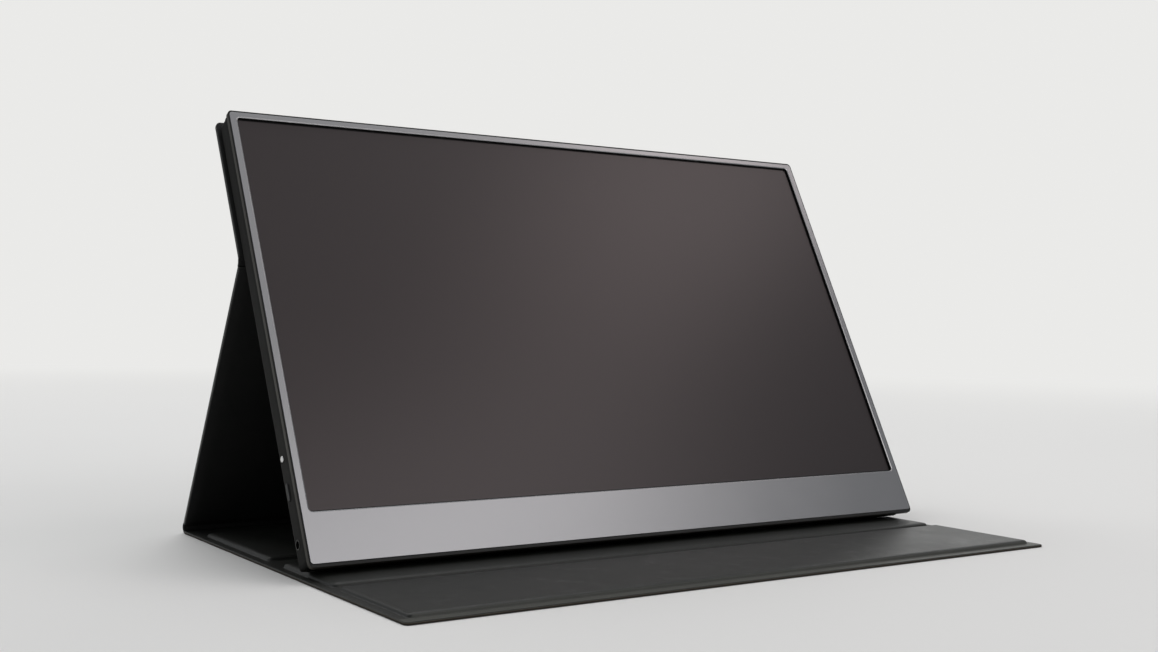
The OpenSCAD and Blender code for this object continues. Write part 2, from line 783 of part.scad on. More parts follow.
module frame_screws() {
    head_n = ledge_n + 0.02;
    color([0.55, 0.55, 0.56]) on_monitor() for (s = screw_spots) {
        post(s, head_n, ledge_n + screw_head_t - 0.02, screw_head_r);
        post(s, head_n, ledge_back_n + screw_l - 0.5, pilot_r - 0.02);
    }
}

module board_screws() {
    color([0.55, 0.55, 0.56]) on_monitor() for (s = concat(main_spots, control_spots)) {
        post(s, pcb_n - 0.5, pcb_n, screw_head_r);
        post(s, pcb_n - 0.5, pcb_back_n + board_screw_l - 0.4, pilot_r - 0.02);
    }
}

module shell_magnets() {
    color([0.6, 0.6, 0.62]) on_monitor() for (x = magnet_x, v = magnet_v)
        post([x, v], floor_n - magnet_t, floor_n, magnet_r);
}

// The folio's back panel, held to the monitor's upper back
module back_skin() {
    low_v = fold_v + back_bead_r + bead_gap;
    color([0.2, 0.21, 0.19]) on_monitor() against_back() difference() {
        pad([-cover_half, -panel_top_v, panel_n + lining_t], [cover_half, -low_v, panel_back_n],
            cover_r, pad_r);
        block([-cover_half + hem_w, -panel_top_v + hem_w, panel_n],
            [cover_half - hem_w, -low_v - hem_w / 2, panel_n + lining_t + board_t]);
    }
}

module back_board() {
    low_v = fold_v + back_bead_r + bead_gap + hem_w / 2 + board_gap;
    top_v = panel_top_v - hem_w - board_gap;
    half = cover_half - hem_w - board_gap;
    color([0.45, 0.38, 0.28]) on_monitor() difference() {
        block([-half, panel_n + lining_t, low_v], [half, panel_n + lining_t + board_t, top_v]);
        for (x = magnet_x, v = magnet_v)
            post([x, v], panel_n + lining_t - cut, panel_n + lining_t + cover_magnet_t + 0.1,
                cover_magnet_r + board_gap);
    }
}

module back_lining() {
    low_v = fold_v + back_bead_r + bead_gap;
    color([0.1, 0.1, 0.1]) on_monitor()
        slab(panel_n, panel_n + lining_t)
            round_rect([-cover_half, low_v], [cover_half, panel_top_v], cover_r);
}

module back_magnets() {
    color([0.6, 0.6, 0.62]) on_monitor() for (x = magnet_x, v = magnet_v)
        post([x, v], panel_n + lining_t, panel_n + lining_t + cover_magnet_t, cover_magnet_r);
}

// The bead in the back fold, with the web that joins it to the back panel
module back_crease() {
    top_v = fold_v + back_bead_r + bead_gap;
    inset = 1;
    color([0.17, 0.18, 0.16]) on_monitor() union() {
        translate([-cover_half + inset, back_fold_n, fold_v]) rotate([0, 90, 0])
            cylinder(h = 2 * (cover_half - inset), r = back_bead_r);
        block([-cover_half + inset, panel_back_n - skin_t - 0.4, fold_v],
            [cover_half - inset, panel_back_n - 0.4, top_v]);
    }
}

// The leg, seen along itself: Y is towards its outer face and Z is up to the back fold
leg_z0 = rear_bead_r + bead_gap;
leg_z1 = leg_l - back_bead_r - bead_gap;
leg_in = rear_bead_r - cover_t;

module leg_skin() {
    hem = hem_w / 2;
    color([0.2, 0.21, 0.19]) on_leg() against_back() difference() {
        pad([-cover_half, -leg_z1, leg_in + lining_t], [cover_half, -leg_z0, rear_bead_r], 1.5, pad_r);
        block([-cover_half + hem_w, -leg_z1 + hem, leg_in],
            [cover_half - hem_w, -leg_z0 - hem, leg_in + lining_t + board_t]);
    }
}

module leg_board() {
    hem = hem_w / 2 + board_gap;
    half = cover_half - hem_w - board_gap;
    color([0.45, 0.38, 0.28]) on_leg()
        block([-half, leg_in + lining_t, leg_z0 + hem], [half, leg_in + lining_t + board_t, leg_z1 - hem]);
}

module leg_lining() {
    color([0.1, 0.1, 0.1]) on_leg()
        slab(leg_in, leg_in + lining_t)
            round_rect([-cover_half, leg_z0], [cover_half, leg_z1], 1.5);
}

// The folio's part on the table
module base_skin() {
    color([0.2, 0.21, 0.19]) on_table() difference() {
        linear_extrude(skin_t)
            round_rect([-cover_half, base_front_y], [cover_half, base_back_y - rear_bead_r - bead_gap], 1);
        for (x = magnet_x) translate([x, foot_y, skin_t - 0.2]) cylinder(h = cut, r = cover_magnet_r);
    }
}

module spine_board() {
    half = cover_half - hem_w;
    color([0.45, 0.38, 0.28]) on_table()
        block([-half, spine_front_y + 2, skin_t],
            [half, base_back_y - rear_bead_r - bead_gap - 1.5, skin_t + spine_board_t]);
}

module base_board_rear() {
    half = cover_half - hem_w - board_gap;
    color([0.45, 0.38, 0.28]) on_table()
        block([-half, rear_y0 + lining_t, skin_t], [half, rear_y1 - lining_t, skin_t + board_t]);
}

module base_board_mid() {
    half = cover_half - hem_w - board_gap;
    color([0.45, 0.38, 0.28]) on_table() difference() {
        block([-half, mid_y0 + lining_t, skin_t], [half, mid_y1 - lining_t, skin_t + board_t]);
        for (x = magnet_x) translate([x, foot_y, skin_t - cut])
            cylinder(h = board_t + 2 * cut, r = cover_magnet_r + board_gap);
    }
}

// Lining over one board: a raised pad with soft edges
module lining_pad(y0, y1) {
    half = cover_half - hem_w + lining_t;
    pad([-half, y0, skin_t], [half, y1, cover_t], pad_corner_r, pad_r);
}

// The hollow below a lining pad, which its board fills
module board_pocket(y0, y1) {
    half = cover_half - hem_w;
    block([-half, y0 + lining_t - board_gap, skin_t - cut],
        [half, y1 - lining_t + board_gap, skin_t + board_t]);
}

module base_lining() {
    back_y = base_back_y - rear_bead_r - bead_gap;
    half = cover_half - hem_w;
    boards = [[mid_y0, mid_y1], [rear_y0, rear_y1]];
    color([0.16, 0.17, 0.17]) on_table() difference() {
        union() {
            translate([0, 0, skin_t]) linear_extrude(hem_lining_t)
                round_rect([-cover_half, base_front_y], [cover_half, back_y], 1);
            for (b = boards) lining_pad(b[0], b[1]);
            translate([0, 0, skin_t]) linear_extrude(spine_t - skin_t)
                round_rect([-half - lining_t, spine_front_y + 1], [half + lining_t, back_y - 0.5], 1);
        }
        for (b = boards) board_pocket(b[0], b[1]);
        block([-half - board_gap, spine_front_y + 2 - board_gap, 0],
            [half + board_gap, back_y - 1.5 + board_gap, skin_t + spine_board_t]);
    }
}

module base_magnets() {
    color([0.6, 0.6, 0.62]) on_table() for (x = magnet_x)
        translate([x, foot_y, skin_t - 0.2]) cylinder(h = board_t, r = cover_magnet_r - board_gap);
}

// The bead in the rear fold, with the web that joins it to the spine
module rear_crease() {
    inset = 1;
    back_y = base_back_y - rear_bead_r - bead_gap;
    color([0.17, 0.18, 0.16]) on_table() union() {
        translate([-cover_half + inset, rear_fold_y, rear_bead_r]) rotate([0, 90, 0])
            cylinder(h = 2 * (cover_half - inset), r = rear_bead_r);
        block([-cover_half + inset, back_y, 0.1], [cover_half - inset, rear_fold_y, skin_t]);
    }
}

// The bead in the flap's fold, with the web that joins it to the base
module flap_crease() {
    inset = 1;
    color([0.17, 0.18, 0.16]) on_table() union() {
        translate([-cover_half + inset, flap_fold_y, flap_bead_r]) rotate([0, 90, 0])
            cylinder(h = 2 * (cover_half - inset), r = flap_bead_r);
        block([-cover_half + inset, flap_fold_y, 0.2], [cover_half - inset, base_front_y, skin_t]);
    }
}

module flap_skin() {
    color([0.2, 0.21, 0.19]) on_table() linear_extrude(skin_t) flap_outline();
}

// The flap is square at its fold and has round corners at its free edge
module flap_outline() {
    round_rect([-cover_half, front_y], [cover_half, flap_back_y], cover_r);
    translate([-cover_half, flap_back_y - 2 * cover_r]) square([2 * cover_half, 2 * cover_r]);
}

module flap_board() {
    half = cover_half - hem_w - board_gap;
    color([0.45, 0.38, 0.28]) on_table()
        block([-half, flap_y0 + lining_t, skin_t],
            [half, flap_y1 - lining_t, skin_t + board_t]);
}

module flap_lining() {
    color([0.16, 0.17, 0.17]) on_table() difference() {
        union() {
            translate([0, 0, skin_t]) linear_extrude(hem_lining_t) flap_outline();
            lining_pad(flap_y0, flap_y1);
        }
        board_pocket(flap_y0, flap_y1);
    }
}

front_plate();
mid_frame();
rear_shell();
screen_gasket();
front_polariser();
lcd_glass();
optical_films();
light_guide();
led_bar();
reflector_film();
backlight_tray();
driver_board();
display_flex();
main_board();
board_chips();
board_shield();
usb_sockets();
hdmi_socket();
audio_jack();
control_board();
tact_switches();
power_button();
menu_rocker();
speakers();
frame_screws();
board_screws();
shell_magnets();
back_skin();
back_board();
back_lining();
back_magnets();
back_crease();
leg_skin();
leg_board();
leg_lining();
base_skin();
spine_board();
base_board_rear();
base_board_mid();
base_lining();
base_magnets();
rear_crease();
flap_crease();
flap_skin();
flap_board();
flap_lining();
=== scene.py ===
import json
import math
import random

import bmesh
import bpy
from mathutils import Matrix, Vector, noise


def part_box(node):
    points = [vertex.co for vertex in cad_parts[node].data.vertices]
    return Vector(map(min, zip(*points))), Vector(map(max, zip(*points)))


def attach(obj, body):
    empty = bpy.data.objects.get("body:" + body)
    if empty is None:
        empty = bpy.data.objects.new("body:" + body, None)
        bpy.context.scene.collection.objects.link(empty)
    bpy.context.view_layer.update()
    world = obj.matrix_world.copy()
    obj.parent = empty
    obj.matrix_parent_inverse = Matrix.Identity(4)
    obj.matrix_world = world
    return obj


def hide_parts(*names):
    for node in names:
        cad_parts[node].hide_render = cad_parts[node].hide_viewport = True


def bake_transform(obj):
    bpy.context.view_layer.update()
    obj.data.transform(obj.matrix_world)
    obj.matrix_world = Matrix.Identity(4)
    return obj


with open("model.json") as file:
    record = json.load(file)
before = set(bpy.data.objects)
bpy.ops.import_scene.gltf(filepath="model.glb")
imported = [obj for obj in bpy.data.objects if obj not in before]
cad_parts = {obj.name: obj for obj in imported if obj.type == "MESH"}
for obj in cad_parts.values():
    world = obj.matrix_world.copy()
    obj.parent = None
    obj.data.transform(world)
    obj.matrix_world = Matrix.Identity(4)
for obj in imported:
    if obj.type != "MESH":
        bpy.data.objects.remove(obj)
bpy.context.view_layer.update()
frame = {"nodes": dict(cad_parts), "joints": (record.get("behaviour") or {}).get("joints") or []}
nodes = frame["nodes"]
joints = {joint["name"]: joint for joint in frame["joints"]}
mm = 0.001
print("stage: frame loaded,", len(nodes), "nodes")

# Directions of the tilted screen: up its face, and into its depth
screenUp = Vector(joints["monitor_lift"]["axis"]).normalized()
screenIn = Vector((0, screenUp.z, -screenUp.y))
acrossAxis = Vector((1, 0, 0))
screenTilt = math.atan2(screenUp.z, screenUp.y)


def span(node, axis):
    # lowest and highest reach of a node along an axis, in metres
    reach = [vertex.co.dot(axis) for vertex in nodes[node].data.vertices]
    return min(reach), max(reach)


faceDepth = span("front_plate", screenIn)[0]
screenFoot = span("mid_frame", screenUp)[0]


def onScreen(x, depth, height):
    # a place on the monitor: mm across, mm behind its face, mm above its lower edge
    deep, high = faceDepth + depth * mm, screenFoot + height * mm
    return acrossAxis * (x * mm) + screenIn * deep + screenUp * high


def fromScreen(point):
    # the reverse, in mm
    deep, high = point.dot(screenIn) - faceDepth, point.dot(screenUp) - screenFoot
    return point.x / mm, deep / mm, high / mm


def addObject(name, data):
    made = bpy.data.objects.new(name, data)
    bpy.context.scene.collection.objects.link(made)
    return made


def newPiece(name, form, *materials):
    # a finished bmesh as an object at the origin
    mesh = bpy.data.meshes.new(name)
    form.to_mesh(mesh)
    form.free()
    for material in materials:
        mesh.materials.append(material)
    for polygon in mesh.polygons:
        polygon.use_smooth = True
    return addObject(name, mesh)


# Camera
cameraLook = {
    "place": (-411.69, -575.49, 113.27),  # mm
    "yaw": -34.122,
    "pitch": 0.512,
    "roll": -0.873,
    "focal": 1413.68,  # pixels in a frame 1158 wide
    "frameWide": 1158,
    "sensorWide": 36.0,
    "nearest": 0.01,
    "farthest": 50,
}


def setCamera(look):
    turn = (Matrix.Rotation(math.radians(look["yaw"]), 3, "Z")
            @ Matrix.Rotation(math.radians(-look["pitch"]), 3, "X")
            @ Matrix.Rotation(math.radians(look["roll"]), 3, "Y"))
    right, ahead, up = turn.col[0], turn.col[1], turn.col[2]
    pose = Matrix((right, up, -ahead)).transposed().to_4x4()
    pose.translation = Vector(look["place"]) * mm
    data = bpy.data.cameras.new("frontCamera")
    data.sensor_width = look["sensorWide"]
    data.lens = look["focal"] / look["frameWide"] * look["sensorWide"]
    data.clip_start, data.clip_end = look["nearest"], look["farthest"]
    camera = addObject("frontCamera", data)
    camera.matrix_world = pose
    bpy.context.scene.camera = camera
    bpy.context.scene.view_settings.view_transform = "Standard"


setCamera(cameraLook)
print("stage: camera set")


def pick(sockets, key):
    # a socket by its identifier, or else by its name
    return next((socket for socket in sockets if socket.identifier == key), None) or sockets[key]


class Wire:
    # an output socket that can be added, multiplied and so on
    def __init__(self, paint, socket):
        self.paint = paint
        self.socket = socket

    def __add__(self, other):
        return self.paint.maths("ADD", self, other)

    def __radd__(self, other):
        return self.paint.maths("ADD", other, self)

    def __sub__(self, other):
        return self.paint.maths("SUBTRACT", self, other)

    def __rsub__(self, other):
        return self.paint.maths("SUBTRACT", other, self)

    def __mul__(self, other):
        return self.paint.maths("MULTIPLY", self, other)

    def __rmul__(self, other):
        return self.paint.maths("MULTIPLY", other, self)

    def __truediv__(self, other):
        return self.paint.maths("DIVIDE", self, other)

    def __rtruediv__(self, other):
        return self.paint.maths("DIVIDE", other, self)

    def __abs__(self):
        return self.paint.maths("ABSOLUTE", self, 0.0)

    def above(self, limit):
        return self.paint.maths("GREATER_THAN", self, limit)

    def below(self, limit):
        return self.paint.maths("LESS_THAN", self, limit)

    def comb(self, width):
        # a zigzag between 0 and 1, with its teeth two widths apart
        return self.paint.maths("PINGPONG", self, width) / width

    def smooth(self, low, high):
        # 0 below low, 1 above high, eased between
        values = {"Value": self, "From Min": low, "From Max": high}
        eased = {"interpolation_type": "SMOOTHSTEP"}
        return self.paint.node("ShaderNodeMapRange", eased, values, "Result")

    def past(self, limit, soft):
        # 0 below the limit and 1 above it, with a soft edge
        return self.smooth(limit - soft, limit + soft)


class Paint:
    # one material under construction; lengths in it are in mm
    def __init__(self, name, **constants):
        self.material = bpy.data.materials.new(name)
        self.material.use_nodes = True
        self.tree = self.material.node_tree
        self.shader = self.tree.nodes["Principled BSDF"]
        for socketName, value in constants.items():
            self.set(self.shader, socketName.replace("_", " "), value)

    def set(self, node, key, value):
        socket = pick(node.inputs, key)
        if isinstance(value, Wire):
            self.tree.links.new(value.socket, socket)
        elif socket.type == "RGBA":
            socket.default_value = (*value[:3], 1.0)
        else:
            socket.default_value = value

    def node(self, kind, settings, values, output):
        made = self.tree.nodes.new(kind)
        for key, value in settings.items():
            setattr(made, key, value)
        for key, value in values.items():
            self.set(made, key, value)
        return Wire(self, pick(made.outputs, output))

    def maths(self, operation, first, second):
        values = {"Value": first, "Value_001": second}
        return self.node("ShaderNodeMath", {"operation": operation}, values, "Value")

    def vector(self, operation, *parts, output="Vector"):
        values = dict(zip(("Vector", "Vector_001", "Vector_002"), parts))
        return self.node("ShaderNodeVectorMath", {"operation": operation}, values, output)

    def place(self, *scale):
        # where a point lies on the object, stretched by a scale
        coords = self.node("ShaderNodeTexCoord", {}, {}, "Object")
        return self.vector("MULTIPLY", coords, tuple(s / mm for s in scale or (1, 1, 1)))

    def axis(self, where, name):
        return self.node("ShaderNodeSeparateXYZ", {}, {"Vector": where}, name)

    def along(self, where, direction):
        return self.axis(where, "Y") * direction.y + self.axis(where, "Z") * direction.z

    def behindFace(self, where):
        return self.along(where, screenIn) - faceDepth / mm

    def aboveFoot(self, where):
        return self.along(where, screenUp) - screenFoot / mm

    def noise(self, where, size, detail=2.0, roughness=0.5, distortion=0.0, output="Fac"):
        values = {"Vector": where, "Scale": 1.0 / size, "Detail": detail,
                  "Roughness": roughness, "Distortion": distortion}
        return self.node("ShaderNodeTexNoise", {"noise_dimensions": "3D"}, values, output)

    def cells(self, where, size, feature="F1", output="Distance"):
        settings = {"voronoi_dimensions": "3D", "feature": feature}
        return self.node("ShaderNodeTexVoronoi", settings, {"Vector": where, "Scale": 1.0 / size}, output)

    def mix(self, low, high, factor):
        # low and high are colours
        values = {"Factor_Float": factor, "A_Color": low, "B_Color": high}
        return self.node("ShaderNodeMix", {"data_type": "RGBA", "clamp_factor": True}, values, "Result_Color")

    def bump(self, height, depth, strength=0.5):
        values = {"Height": height, "Distance": depth * mm, "Strength": strength}
        return self.node("ShaderNodeBump", {}, values, "Normal")

    def finish(self, colour, rough, bump=None, metal=None):
        wires = {"Base Color": colour, "Roughness": rough, "Normal": bump, "Metallic": metal}
        for socketName, wire in wires.items():
            if wire is not None:
                self.set(self.shader, socketName, wire)
        return self.material


class Graph:
    # a Geometry Nodes tree with named inputs, turned into one plain piece
    def __init__(self, name):
        self.tree = bpy.data.node_groups.new(name, "GeometryNodeTree")
        self.entry = self.tree.nodes.new("NodeGroupInput")
        self.exit = self.tree.nodes.new("NodeGroupOutput")
        self.values = {}
        self.start = self.input("Geometry", "NodeSocketGeometry")
        self.tree.interface.new_socket("Geometry", in_out="OUTPUT", socket_type="NodeSocketGeometry")

    def input(self, name, kind, value=None):
        made = self.tree.interface.new_socket(name, in_out="INPUT", socket_type=kind)
        if value is not None:
            self.values[made.identifier] = value
        return pick(self.entry.outputs, made.identifier)

    def length(self, name, size):
        # an input given in mm
        return self.input(name, "NodeSocketFloat", size * mm)

    def triple(self, name, value):
        return self.input(name, "NodeSocketVector", value)

    def node(self, kind, values, output, **settings):
        made = self.tree.nodes.new(kind)
        for key, value in settings.items():
            setattr(made, key, value)
        for key, value in values.items():
            socket = pick(made.inputs, key)
            if isinstance(value, bpy.types.NodeSocket):
                self.tree.links.new(value, socket)
            else:
                socket.default_value = value
        return pick(made.outputs, output)

    def roundedFrame(self, wide, tall, steps, radius, **limits):
        # a rectangle with round corners, as a curve
        sizes = {"Width": wide, "Height": tall}
        flat = self.node("GeometryNodeCurvePrimitiveQuadrilateral", sizes, "Curve", mode="RECTANGLE")
        corners = {"Curve": flat, "Count": steps, "Radius": radius, **limits}
        return self.node("GeometryNodeFilletCurve", corners, "Curve", mode="POLY")

    def grow(self, name, geometry, material, seedMesh=None):
        paint = self.input("Material", "NodeSocketMaterial", material)
        real = self.node("GeometryNodeRealizeInstances", {"Geometry": geometry}, "Geometry")
        coat = {"Geometry": real, "Material": paint}
        painted = self.node("GeometryNodeSetMaterial", coat, "Geometry")
        self.tree.links.new(painted, self.exit.inputs[0])
        start = addObject(name + "Start", seedMesh or bpy.data.meshes.new(name + "Start"))
        grower = start.modifiers.new("grow", "NODES")
        grower.node_group = self.tree
        for key, value in self.values.items():
            grower[key] = value
        ready = bpy.context.evaluated_depsgraph_get()
        mesh = bpy.data.meshes.new_from_object(start.evaluated_get(ready), depsgraph=ready)
        mesh.name = name
        bpy.data.objects.remove(start)
        return addObject(name, mesh)


# Metals
def makeSatinMetal(name, dark, light, grain, rough):
    # bead-blasted, with faint clouds and rubbed places
    paint = Paint(name, Metallic=1.0, Specular_IOR_Level=0.5)
    where = paint.place()
    cloud = paint.noise(where, 38.0, 3.0)
    blast = paint.noise(where, grain, 1.0)
    wear = paint.noise(where, 3.0, 4.0, 0.6).smooth(0.62, 0.8)
    colour = paint.mix(dark, light, cloud * 0.7 + blast * 0.3)
    roughness = rough + (cloud - 0.5) * 0.05 + (blast - 0.5) * 0.08 + wear * 0.05
    return paint.finish(colour, roughness, paint.bump(blast, 0.004))


def makeCutMetal(name, dark, light, grain, rough):
    # bright diamond-cut edge, with lines drawn out along it
    paint = Paint(name, Metallic=1.0)
    lines = paint.noise(paint.place(0.05, 1, 1), grain, 2.0)
    return paint.finish(paint.mix(dark, light, lines), rough + lines * 0.08, paint.bump(lines, 0.002, 0.4))


def makeRolledMetal(name, dark, light, along, grain, rough):
    # fine marks drawn out along one axis; along is their stretch
    paint = Paint(name, Metallic=1.0)
    marks = paint.noise(paint.place(*along), grain, 3.0, 0.6)
    cloud = paint.noise(paint.place(), grain * 14, 3.0)
    colour = paint.mix(dark, light, cloud * 0.6 + marks * 0.4)
    roughness = rough + (cloud - 0.5) * 0.12 + (marks - 0.5) * 0.10
    return paint.finish(colour, roughness, paint.bump(marks, 0.003))


def makeTurnedMetal(name, dark, light, centre, pitch, rough):
    # turned about an axis along X: rings round the centre
    paint = Paint(name, Metallic=1.0)
    where = paint.place()
    flat = paint.vector("MULTIPLY", paint.vector("SUBTRACT", where, centre), (0, 1, 1))
    radius = paint.vector("LENGTH", flat, output="Value")
    rings = paint.maths("SINE", radius * (2 * math.pi / pitch), 0.0) * 0.5 + 0.5
    cloud = paint.noise(where, 0.8, 3.0)
    colour = paint.mix(dark, light, rings * 0.3 + cloud * 0.7)
    return paint.finish(colour, rough + cloud * 0.08 + rings * 0.04, paint.bump(rings, 0.003))


# Sheets and boards
def makeFilm(name, dark, light, rough, gloss):
    # thin sheet with a faint waviness and a few specks
    paint = Paint(name, Specular_IOR_Level=gloss)
    where = paint.place()
    wave = paint.noise(where, 45.0, 2.0)
    speck = paint.cells(where, 6.0).smooth(0.03, 0.12)
    colour = paint.mix(dark, light, wave * 0.6 + speck * 0.4)
    return paint.finish(colour, rough + (wave - 0.5) * 0.1, paint.bump(wave, 0.15, 0.4))


def makeClearSheet(name, dark, light, rough):
    # clear, with a few scuffs
    paint = Paint(name, IOR=1.5, Transmission_Weight=0.75)
    cloud = paint.noise(paint.place(), 50.0, 2.0)
    scuff = paint.noise(paint.place(1, 0.1, 1), 1.2, 4.0, 0.6).smooth(0.6, 0.8)
    return paint.finish(paint.mix(dark, light, cloud), rough + scuff * 0.15, paint.bump(scuff, 0.002, 0.3))


def makeCircuitBoard(name, dark, light, tin, trackWide, viaGap):
    # green mask over copper tracks, with tinned pads and bored vias; each via is painted black as the shade
    # in its hole
    paint = Paint(name, Specular_IOR_Level=0.5)
    where = paint.place()
    slope = paint.along(where, screenUp)
    across = paint.axis(where, "X")
    plan = paint.node("ShaderNodeCombineXYZ", {}, {"X": across, "Y": slope, "Z": 0.0}, "Vector")
    lean = paint.noise(paint.cells(plan, 5.5, "F1", "Position"), 3.0).above(0.5)
    track = (lean * across + (1.0 - lean) * slope).comb(trackWide).smooth(0.45, 0.6)
    pad, viaHoleShade = (paint.cells(plan, viaGap).below(reach) for reach in (0.16, 0.06))
    metal = paint.mix(paint.mix(dark, light, track), tin, pad)
    # painted shade: each via's hole is painted black
    colour = paint.mix(metal, (0.01, 0.01, 0.01), viaHoleShade)
    roughness = 0.34 + pad * 0.1 + paint.noise(where, 9.0) * 0.1
    relief = paint.bump(track * 0.5 + pad - viaHoleShade * 2.0, 0.03, 0.6)
    return paint.finish(colour, roughness, relief, pad * 0.8 - viaHoleShade * 0.8)


def makeFlexCopper(name, dark, light, lineWide):
    # amber film over copper lines that run up the strip
    paint = Paint(name, Specular_IOR_Level=0.5)
    where = paint.place()
    line = paint.axis(where, "X").comb(lineWide).smooth(0.4, 0.6)
    cloud = paint.noise(where, 8.0, 3.0)
    colour = paint.mix(dark, light, line * 0.7 + cloud * 0.3)
    return paint.finish(colour, 0.36 + cloud * 0.1, paint.bump(line, 0.02), line * 0.5)


def makeLedTape(name, dark, light, chipGap, chipColour):
    # white tape with a row of yellow chips
    paint = Paint(name, Specular_IOR_Level=0.4)
    where = paint.place()
    chip = paint.axis(where, "X").comb(chipGap).smooth(0.62, 0.68)
    cloud = paint.noise(where, 1.2, 3.0)
    colour = paint.mix(paint.mix(dark, light, cloud), chipColour, chip)
    return paint.finish(colour, 0.5 - chip * 0.2 + cloud * 0.06, paint.bump(chip, 0.1))


def makePressedBoard(name, dark, light, fleckColour):
    # grey board of pressed fibres, with flecks and long soft strands
    paint = Paint(name, Specular_IOR_Level=0.2)
    where = paint.place()
    fibre = paint.noise(paint.place(0.3, 1, 1), 0.7, 5.0, 0.7, 0.6)
    fleck = paint.cells(where, 2.2).smooth(0.05, 0.16)
    base = paint.mix(dark, light, fibre * 0.6 + paint.noise(where, 25.0, 3.0) * 0.4)
    colour = paint.mix(fleckColour, base, fleck)
    return paint.finish(colour, 0.86 + (fibre - 0.5) * 0.1, paint.bump(fibre, 0.06, 0.6))


# Plastics, foam and leather
def makeFoam(name, dark, light, grain):
    paint = Paint(name, Specular_IOR_Level=0.15)
    pore = paint.cells(paint.place(), grain)
    cloud = paint.noise(paint.place(), 6.0, 2.0)
    colour = paint.mix(dark, light, pore * 0.7 + cloud * 0.3)
    return paint.finish(colour, 0.85 + pore * 0.1, paint.bump(pore, 0.08, 0.7))


def makeMouldedPlastic(name, dark, light, grain, rough, depth=0.02, gloss=0.42):
    # a fine speckle, with faint clouds and places rubbed smooth
    paint = Paint(name, Specular_IOR_Level=gloss)
    where = paint.place()
    speck = paint.cells(where, grain)
    cloud = paint.noise(where, 22.0, 3.0)
    rub = paint.noise(where, 5.0, 5.0, 0.65).smooth(0.55, 0.85)
    colour = paint.mix(dark, light, cloud * 0.55 + speck * 0.45)
    return paint.finish(colour, rough + (cloud - 0.5) * 0.08 - rub * 0.06, paint.bump(speck, depth))


def makeLeather(name, dark, light, grain, rough, depth):
    # pebbled grain with a finer crackle in it and a soft wear in broad clouds
    paint = Paint(name, Specular_IOR_Level=0.30)
    where = paint.place()
    warp = paint.noise(where, 1 / 1.4, 1.0, output="Color")
    bent = paint.vector("MULTIPLY_ADD", warp, (grain * 0.9,) * 3, where)
    pebble = paint.cells(bent, grain, "SMOOTH_F1")
    crackle = paint.cells(bent, grain * 0.45, "DISTANCE_TO_EDGE")
    cloud = paint.noise(where, 30.0, 4.0, 0.55)
    rub = paint.noise(where, 9.0, 5.0, 0.6).smooth(0.5, 0.8)
    height = pebble * -0.7 + crackle.smooth(0.0, 0.25) * 0.3
    colour = paint.mix(dark, light, cloud * 0.6 + crackle.smooth(0.0, 0.3) * 0.25 + rub * 0.15)
    return paint.finish(colour, rough + (cloud - 0.5) * 0.12 - rub * 0.08, paint.bump(height, depth, 0.7))


def makeCutFibre(name, dark, light, liningAndHighlightDark, liningAndHighlightLight, liningAndHighlightFrom, liningAndHighlightTo):
    # the cover's cut edge: a dark core below, partly painted shade, and a paler line under the lining, partly
    # the lining's own edge and partly painted highlight
    paint = Paint(name, Specular_IOR_Level=0.25)
    fibre = paint.noise(paint.place(0.25, 1, 1.6), 0.3, 3.0, 0.6)
    height = paint.axis(paint.place(), "Z") + (fibre - 0.5) * 0.25
    coreAndShade, liningAndHighlight = paint.mix(dark, light, fibre), paint.mix(liningAndHighlightDark, liningAndHighlightLight, fibre)
    # paler towards the top of the edge: partly the lining's edge, partly painted highlight
    colour = paint.mix(coreAndShade, liningAndHighlight, height.smooth(liningAndHighlightFrom, liningAndHighlightTo))
    return paint.finish(colour, 0.66 + fibre * 0.15, paint.bump(fibre, 0.05, 0.6))


